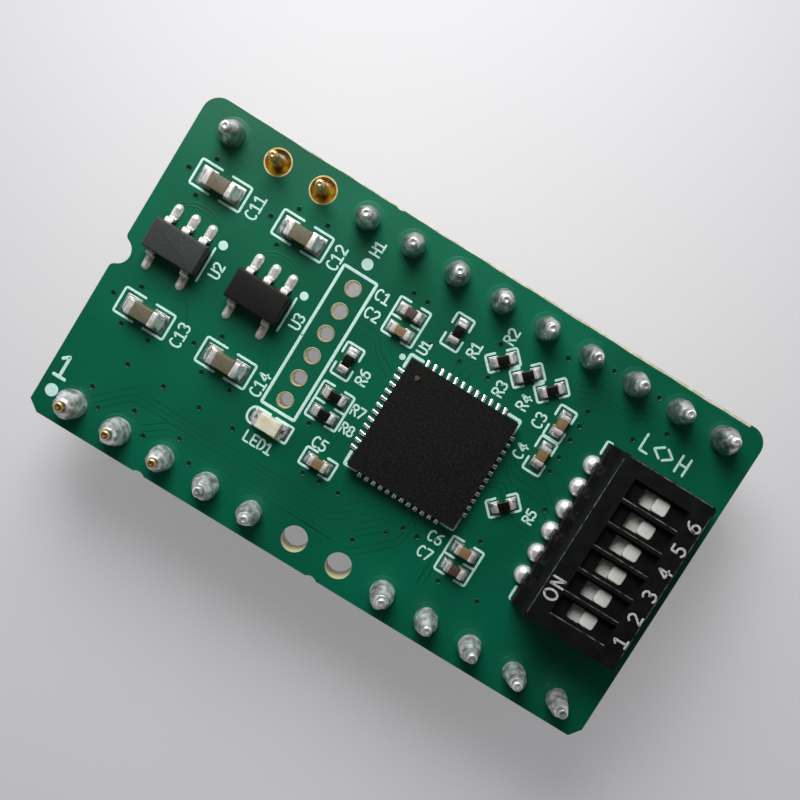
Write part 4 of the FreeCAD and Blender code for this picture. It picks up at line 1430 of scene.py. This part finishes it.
def bow(x, y, across, up, start, end, steps=9):
    """An arc about x, y: across times the cosine and up times the sine of start to end degrees."""
    angle = np.radians(np.linspace(start, end, steps))
    return list(zip(x + across * np.cos(angle), y + up * np.sin(angle)))


STROKES = {
    "1": [[(0.08, 0.8), (0.32, 1), (0.32, 0)], [(0.06, 0), (0.58, 0)]],
    "2": [bow(0.31, 0.72, 0.27, 0.28, 155, -35) + [(0.06, 0), (0.6, 0)]],
    "3": [bow(0.29, 0.75, 0.27, 0.25, 140, -90)[:-1] + bow(0.29, 0.25, 0.3, 0.25, 90, -135)],
    "4": [[(0.46, 0), (0.46, 1), (0.04, 0.3), (0.64, 0.3)]],
    "5": [[(0.55, 1), (0.12, 1), (0.08, 0.56)] + bow(0.27, 0.31, 0.3, 0.31, 115, -145)],
    "6": [bow(0.56, 0.34, 0.52, 0.66, 95, 170) + bow(0.31, 0.3, 0.27, 0.3, 180, 535, 15)],
    "7": [[(0.03, 1), (0.6, 1), (0.22, 0)]],
    "8": [bow(0.3, 0.76, 0.24, 0.24, -90, 265, 14), bow(0.3, 0.26, 0.28, 0.26, 90, 445, 14)],
    "C": [bow(0.32, 0.5, 0.3, 0.5, 58, 302, 13)],
    "D": [[(0.22, 0), (0.05, 0), (0.05, 1), (0.22, 1)] + bow(0.24, 0.5, 0.34, 0.5, 85, -85)],
    "E": [[(0.55, 1), (0.05, 1), (0.05, 0), (0.55, 0)], [(0.05, 0.52), (0.45, 0.52)]],
    "H": [[(0.05, 0), (0.05, 1)], [(0.58, 0), (0.58, 1)], [(0.05, 0.5), (0.58, 0.5)]],
    "L": [[(0.05, 1), (0.05, 0), (0.52, 0)]],
    "N": [[(0.05, 0), (0.05, 1), (0.58, 0), (0.58, 1)]],
    "O": [bow(0.36, 0.5, 0.36, 0.5, 90, 445, 17)],
    "R": [
        [(0.05, 0), (0.05, 1), (0.3, 1)] + bow(0.32, 0.76, 0.25, 0.24, 80, -80) + [(0.3, 0.52), (0.05, 0.52)],
        [(0.3, 0.52), (0.58, 0)],
    ],
    "U": [[(0.04, 1), (0.04, 0.3)] + bow(0.31, 0.3, 0.27, 0.3, 190, 350) + [(0.58, 0.3), (0.58, 1)]],
    "<": [[(0.5, 0.85), (0.02, 0.5), (0.5, 0.15)]],
    ">": [[(0.02, 0.85), (0.5, 0.5), (0.02, 0.15)]],
}


def set_down(path, x, y, turn):
    """A flat path turned about its origin by so many degrees and moved to x, y."""
    cosine, sine = math.cos(math.radians(turn)), math.sin(math.radians(turn))
    across, along = np.array(path, float).T
    return np.column_stack([across * cosine - along * sine + x, across * sine + along * cosine + y])


def lettering(text, x, y, tall, turn, step=0.74):
    """The pen strokes of a word: each letter moved on by step, the whole scaled by its height,
    turned about its lower left corner and moved to x, y."""
    strokes = []
    for place, letter in enumerate(text):
        for stroke in STROKES[letter]:
            strokes.append(set_down((np.array(stroke, float) + [place * step, 0]) * tall, x, y, turn))
    return strokes


print("the pen knows", "".join(sorted(STROKES)))

# %% [markdown]
# ## Words on the board
#
# White epoxy ink is printed over the lacquer through a screen. Beside each part stand a letter
# for its kind and its number: C for a capacitor, R for a resistor, U for a chip with a circuit
# in it, H for a header. A few larger marks have thicker pens.

# %% Words
PEN = 0.115
# How far from its corners a small letter's line starts to bend, and a large one's.
PEN_BEND = 0.04
LARGE_BEND = 0.05

# The words: text, the lower left corner from the board's middle, height, and turn.
WORDS = [
    ("C11", -10.97, 4.6, 0.57, 90), ("C12", -6.37, 4.6, 0.57, 90),
    ("C13", -10.92, -2.6, 0.57, 90), ("C14", -6.37, -2.6, 0.57, 90),
    ("U2", -11.02, 1.25, 0.53, 90), ("U3", -6.42, 1.2, 0.53, 90), ("U1", -0.52, 3.4, 0.49, 90),
    ("H1", -4.92, 6.25, 0.53, 90), ("C1", -4.12, 4.5, 0.53, 0), ("C2", -4.12, 3.5, 0.53, 0),
    ("R1", 1.63, 4.55, 0.53, 90), ("R2", 2.83, 6.05, 0.53, 90), ("R3", 3.68, 3.6, 0.53, 90),
    ("R4", 5.03, 3.65, 0.53, 90), ("R5", 8.23, -0.95, 0.49, 90), ("C3", 6.13, 3.3, 0.53, 90),
    ("C4", 6.13, 1.55, 0.53, 90), ("R6", -2.27, 0.55, 0.53, 90), ("R7", -2.2, -0.88, 0.5, 0),
    ("R8", -2.2, -1.9, 0.5, 0), ("C5", -3.0, -3.22, 0.53, 0), ("C6", 4.25, -4.18, 0.53, 0),
    ("C7", 4.2, -5.1, 0.53, 0), ("LED1", -6.0, -4.75, 0.53, 0),
]

# The marks with pens of their own: text, lower left corner, height, and pen.
LARGE_MARKS = [
    ("1", -15.56, -6.83, 1.12, 0.19), ("L", 10.72, 5.02, 0.86, 0.145), ("<", 11.36, 5.02, 0.86, 0.145),
    (">", 12.0, 5.02, 0.86, 0.145), ("H", 12.75, 5.02, 0.86, 0.145),
]
print(len(WORDS), "words and", len(LARGE_MARKS), "large marks")

# %% [markdown]
# ## Outlines, dots and bars
#
# Each two-ended chip stands in an outline that is open in the middle of its long sides, and the
# open header in a long frame. A round dot marks the first terminal of each chip and the first
# pin of the board. The pens differ a little in width, and so do the bends of their lines.

# %% Outlines, dots and bars
OUTLINE_PEN = 0.14
OUTLINE_BEND = 0.1
OUTLINE_GAP = 0.62
LAMP_PEN = 0.14
BAR_PEN = 0.13
HEADER_PEN = 0.18
HOOK_PEN = 0.2
CORNER_PEN = 0.19
# How far from its corners a thick pen's line starts to bend.
FIRM_BEND = 0.06

# The outlines round the two-ended chips: middle, length, width, turn, and how many lie in a row
# side by side, with a bar between them.
OUTLINES = [
    (-13.22, 5.23, 2.78, 1.34, 0, 1), (-8.61, 5.23, 2.78, 1.34, 0, 1),
    (-13.22, -1.98, 2.78, 1.34, 0, 1), (-8.61, -1.98, 2.78, 1.34, 0, 1),
    (-2.17, 4.32, 1.7, 1.93, 0, 2), (0.21, 5.21, 1.74, 0.95, 90, 1),
    (2.82, 5.21, 1.6, 0.87, 45, 1), (4.22, 5.21, 1.6, 0.87, 45, 1), (5.61, 5.21, 1.6, 0.87, 45, 1),
    (6.6, -0.82, 1.6, 0.87, 45, 1), (6.83, 4.04, 1.72, 0.92, 90, 1), (6.83, 2.2, 1.84, 0.92, 90, 1),
    (-3.59, 1.2, 1.72, 0.95, 90, 1),
    (-3.2, -1.11, 1.72, 1.93, 0, 2), (-2.22, -3.81, 1.75, 0.93, 0, 1), (6.2, -4.29, 1.75, 1.9, 0, 2),
]
# The dots: middle and radius.
DOTS = [
    (-1.44, 2.8, 0.16), (-5.22, 5.71, 0.3), (-11.64, 2.83, 0.24), (-7.04, 2.8, 0.22), (-15.19, -7.57, 0.33),
]

# The outline round the open header, and the bars beside the two regulators.
HEADER_OUTLINE = [(-6.16, 1.2), (-6.16, 5.12), (-4.31, 5.12), (-4.31, -2.66), (-6.16, -2.66), (-6.16, 1.1)]
REGULATOR_BARS = [[(x, 0.7), (x, 2.5)] for x in (-11.89, -7.29)]

# The lamp's outline from its own middle: a square end and a round one.
SQUARE_END = [(0.15, 0.44), (1.13, 0.44), (1.13, -0.44), (0.15, -0.44)]
ROUND_END = [(-0.2, 0.44), (-1.0, 0.44), (-1.2, 0.2), (-1.2, -0.2), (-1.0, -0.44), (-0.2, -0.44)]
ROUND_END_BEND = 0.3

# The hooks beside the switch's two ends.
SWITCH_HOOKS = [[(9.3, side * 3.91), (9.3, side * 4.53), (9.5, side * 4.53)] for side in (-1, 1)]
print(len(OUTLINES), "outlines and", len(DOTS), "dots")

# %% [markdown]
# ## Paths turned to ink
#
# Every mark is a pen's path, so one function draws them all. It softens their corners and makes
# each stroke of a mark a little higher than the one before, since two faces in one plane would
# flicker where strokes cross. A chip's outline is two facing brackets, turned as the chip is.

# %% Inked lines, brackets and dots
INK_RISE = 0.016
# Each stroke of a mark is this much higher than the one before, so no two lie in one plane.
LAYER = 0.0012


def facing_brackets(x, y, long, wide, turn, rows):
    """Two brackets that face each other: each runs from the middle gap out along a long side,
    across the end and back. Between two rows a bar runs in from each end."""
    half_wide = wide / 2
    paths = []
    for side in (-1, 1):
        end, gap = side * long / 2, side * OUTLINE_GAP / 2
        paths.append([(gap, half_wide), (end, half_wide), (end, -half_wide), (gap, -half_wide)])
        if rows == 2:
            paths.append([(end, 0), (gap, 0)])
    return [set_down(path, x, y, turn) for path in paths]


def inked(paths, pen, bend, rise=INK_RISE, ground=TOP):
    """Paths drawn in ink, their corners softened and each a layer higher than the one before."""
    return [drawn_line(softened(path, bend), pen, rise + k * LAYER, ground) for k, path in enumerate(paths)]


def dot(x, y, radius):
    """A flat round of ink."""
    profile = [(radius, -SUNK), (radius * 0.97, INK_RISE), (radius * 0.4, INK_RISE)]
    return copies(skin(turned(profile, sides=24)), [x, y, TOP])


print("the ink stands", INK_RISE, "mm high")

# %% [markdown]
# ## The board's print
#
# All the ink on the board is one piece, because it was put on in one pull of the squeegee. The
# logic chip's corner marks follow the chip, and the lamp's outline follows the lamp.

# %% Board print
# The chip's corner marks lie this far outside it, and their arms are this long.
CORNER_GAP = 0.13
CORNER_ARM = 0.66
# The header's outline lies this many layers up, over the words and outlines that touch it.
HEADER_LAYERS = 5


def chip_corners():
    """A corner mark outside each corner of the logic chip."""
    corner = CHIP_HALF + CORNER_GAP
    marks = []
    for across, along in ((1, 1), (-1, 1), (-1, -1), (1, -1)):
        x, y = CHIP_MIDDLE[0] + across * corner, CHIP_MIDDLE[1] + along * corner
        mark = [(x - across * CORNER_ARM, y), (x, y), (x, y - along * CORNER_ARM)]
        marks += inked([mark], CORNER_PEN, FIRM_BEND)
    return marks


def board_print():
    """Every word, outline, bar and dot of ink as one mesh of drawn lines."""
    lines = []
    for text, x, y, tall, turn in WORDS:
        lines += inked(lettering(text, x, y, tall, turn), PEN, PEN_BEND)
    for outline in OUTLINES:
        lines += inked(facing_brackets(*outline), OUTLINE_PEN, OUTLINE_BEND)
    lines += [dot(x, y, radius) for x, y, radius in DOTS]
    for text, x, y, tall, pen in LARGE_MARKS:
        lines += inked(lettering(text, x, y, tall, 0), pen, LARGE_BEND)
    lines += inked([HEADER_OUTLINE], HEADER_PEN, FIRM_BEND, INK_RISE + HEADER_LAYERS * LAYER)
    lines += chip_corners()
    for bar in REGULATOR_BARS:
        lines += inked([bar], BAR_PEN, 0)
    lamp_middle = node_centre("led_base")[:2]
    lines += inked([np.array(SQUARE_END) + lamp_middle], LAMP_PEN, FIRM_BEND)
    lines += inked([np.array(ROUND_END) + lamp_middle], LAMP_PEN, ROUND_END_BEND)
    for hook in SWITCH_HOOKS:
        lines += inked([hook], HOOK_PEN, LARGE_BEND)
    return joined(lines)


def screen_ink(name, colour, dark):
    """White epoxy ink: chalky, slightly uneven where it is thin."""
    return clouded_finish(name, colour, (dark, colour), cloud=0.12, roughness=0.6, IOR=1.5)


WHITE_INK = screen_ink("white_screen_ink", "#dafff7", "#c9f3e8")
make_piece("board_print", board_print(), WHITE_INK)

# %% [markdown]
# ## Print on the switch
#
# The cover carries a number for each way beside its recess, and ON at the edge towards which a
# knob is pushed to switch its way on. The ink is put on with a soft pad, and is a little greyer
# than the board's.

# %% Switch print
COVER_LOW, COVER_HIGH = node_box("switch_cover")
COVER_MIDDLE = (COVER_LOW + COVER_HIGH) / 2
COVER_TOP = COVER_HIGH[2] - PRINT_ROOM
PAD_RISE = 0.012
PAD_PEN = 0.13
PAD_TALL = 0.66
# How far across from the cover's middle the numbers and ON stand.
NUMBERS_ACROSS = 2.36
ON_ACROSS = -1.62
# A number starts this far before its knob's middle, and ON this far from the cover's end.
NUMBER_START = 0.2
ON_START = 1.32
ON_STEP = 1.05


def switch_print():
    """Numbers at each knob's own place along the switch, and ON at the other edge."""
    words = []
    for number in range(1, WAYS + 1):
        y = node_centre(f"switch_slider_{number}")[1]
        words.append(lettering(str(number), COVER_MIDDLE[0] + NUMBERS_ACROSS, y - NUMBER_START, PAD_TALL, 90))
    x, y = COVER_MIDDLE[0] + ON_ACROSS, COVER_LOW[1] + ON_START
    words.append(lettering("ON", x, y, PAD_TALL, 90, ON_STEP))
    lines = []
    for strokes in words:
        lines += inked(strokes, PAD_PEN, PEN_BEND, PAD_RISE, COVER_TOP)
    return joined(lines)


GREY_INK = screen_ink("grey_pad_ink", "#dcdcd8", "#a9aba8")
make_piece("switch_print", switch_print(), GREY_INK)

# %% [markdown]
# ## Painted edge highlights
#
# The edges of the black cover that face the light catch it as thin pale lines: the lower lip of
# each recess, which the knobs pass, and round the cover's top. These highlights are painted on,
# each a grey line as thin as a hair, broken up by its finish. The top face's own extent comes
# from the CAD cover's corners.

# %% Painted edge highlights
EDGE_LIGHT_RISE = 0.004
# The highlight lines keep this far inside the top's edges, and the lips lie this far from the knobs.
EDGE_LIGHT_INSET = 0.05
LIP_GAP = 0.07
# A lip's line runs between these two places across from the cover's middle.
LIP_FROM = -1.5
LIP_TO = 1.45
LIP_PEN = 0.055
# Along the three sides of the top: each line's pen, and how far from the corners it stops.
NEAR_SIDE = (0.05, 0.3)
END_SIDE = (0.07, 0.2)
FAR_SIDE = (0.035, 0.5)
# Corners this close below a node's highest one belong to its top face.
TOP_FACE_WITHIN = 0.01

# Painted highlights where the cover's edges catch the light: broken dull grey lines.
PAINTED_EDGE_LIGHT = clouded_finish(
    "painted_edge_highlight", "#4b4d4a", ("#131514", "#83857f"), cloud=0.35, roughness=0.6,
    spots=(0.36, 0.66), detail=5, IOR=1.45,
)


def top_face(node):
    """The lowest and highest x and y among the corners that lie at a node's full height."""
    mesh = frame["nodes"][node].data
    corners = np.zeros(len(mesh.vertices) * 3, np.float32)
    mesh.vertices.foreach_get("co", corners)
    corners = corners.reshape(-1, 3) / MM
    top = corners[corners[:, 2] > corners[:, 2].max() - TOP_FACE_WITHIN]
    return top[:, :2].min(axis=0), top[:, :2].max(axis=0)


def rubbed_edges():
    """One painted highlight line along each recess's lip, and lines along three sides of the cover's top."""
    low, high = top_face("switch_cover")
    slider_low, slider_high = node_box("switch_slider_1")
    lip = (slider_high - slider_low)[1] / 2 + LIP_GAP
    paths = []
    for number in range(1, WAYS + 1):
        y = node_centre(f"switch_slider_{number}")[1] - lip
        paths.append(([(COVER_MIDDLE[0] + LIP_FROM, y), (COVER_MIDDLE[0] + LIP_TO, y)], LIP_PEN))
    near, far, end = low[0] + EDGE_LIGHT_INSET, high[0] - EDGE_LIGHT_INSET, high[1] - EDGE_LIGHT_INSET
    pen, short = NEAR_SIDE
    paths.append(([(near, low[1] + short), (near, high[1] - short)], pen))
    pen, short = END_SIDE
    paths.append(([(near + short, end), (far - short, end)], pen))
    pen, short = FAR_SIDE
    paths.append(([(far, low[1] + short), (far, high[1] - short)], pen))
    return joined([drawn_line(path, pen, EDGE_LIGHT_RISE, COVER_TOP) for path, pen in paths])


make_piece("painted_cover_edge_highlights", rubbed_edges(), PAINTED_EDGE_LIGHT)

# %% [markdown]
# ## The pale far edge
#
# The boards are made many at a time and broken out of a panel, so the lacquer stops a little
# short of one long edge and a thin strip of pale laminate shows. Towards its narrow start the
# strip stands instead for the light that the lacquer's edge catches on that side: a painted
# highlight. The strip is a low section carried along the edge, so thin that it only catches the
# eye as a light rim.

# %% Pale edge strip
STRIP_RISE = 0.004
# The strip starts and ends this far from the board's corners.
STRIP_END = 1.1
STRIP_STEPS = 90

# Woven glass in epoxy, cut: straw coloured and dull. Towards the strip's narrow start the same pale colour is
# a painted highlight on the lacquer's edge.
LAMINATE_AND_EDGE_LIGHT = clouded_finish(
    "laminate_and_painted_edge_highlight", "#d9d8bc", ("#c9c8a6", "#ecebd6"), cloud=0.3, roughness=0.6, IOR=1.5,
)


def bare_strip():
    """A strip along the far edge whose inner side wanders: its width grows along the board, with
    two slow sines on it, and runs out to almost nothing at its start."""
    x = np.linspace(BOARD_LOW[0] + STRIP_END, BOARD_HIGH[0] - STRIP_END, STRIP_STEPS)
    share = (x - x[0]) / (x[-1] - x[0])
    width = 0.03 + 0.11 * share + 0.012 * np.sin(x * 1.7) + 0.008 * np.sin(x * 4.1 + 1)
    width = width * np.clip(share * 8, 0.05, 1)
    edge = np.full_like(x, BOARD_HIGH[1])
    inner = edge - width
    low, high = TOP - SUNK, TOP + STRIP_RISE
    corners = ((edge, low), (edge, high), (inner, high), (inner, low))
    return skin(np.stack([np.stack([x, y, np.full_like(x, z)], axis=-1) for y, z in corners], axis=1))


make_piece("laminate_and_edge_light_strip", bare_strip(), LAMINATE_AND_EDGE_LIGHT)
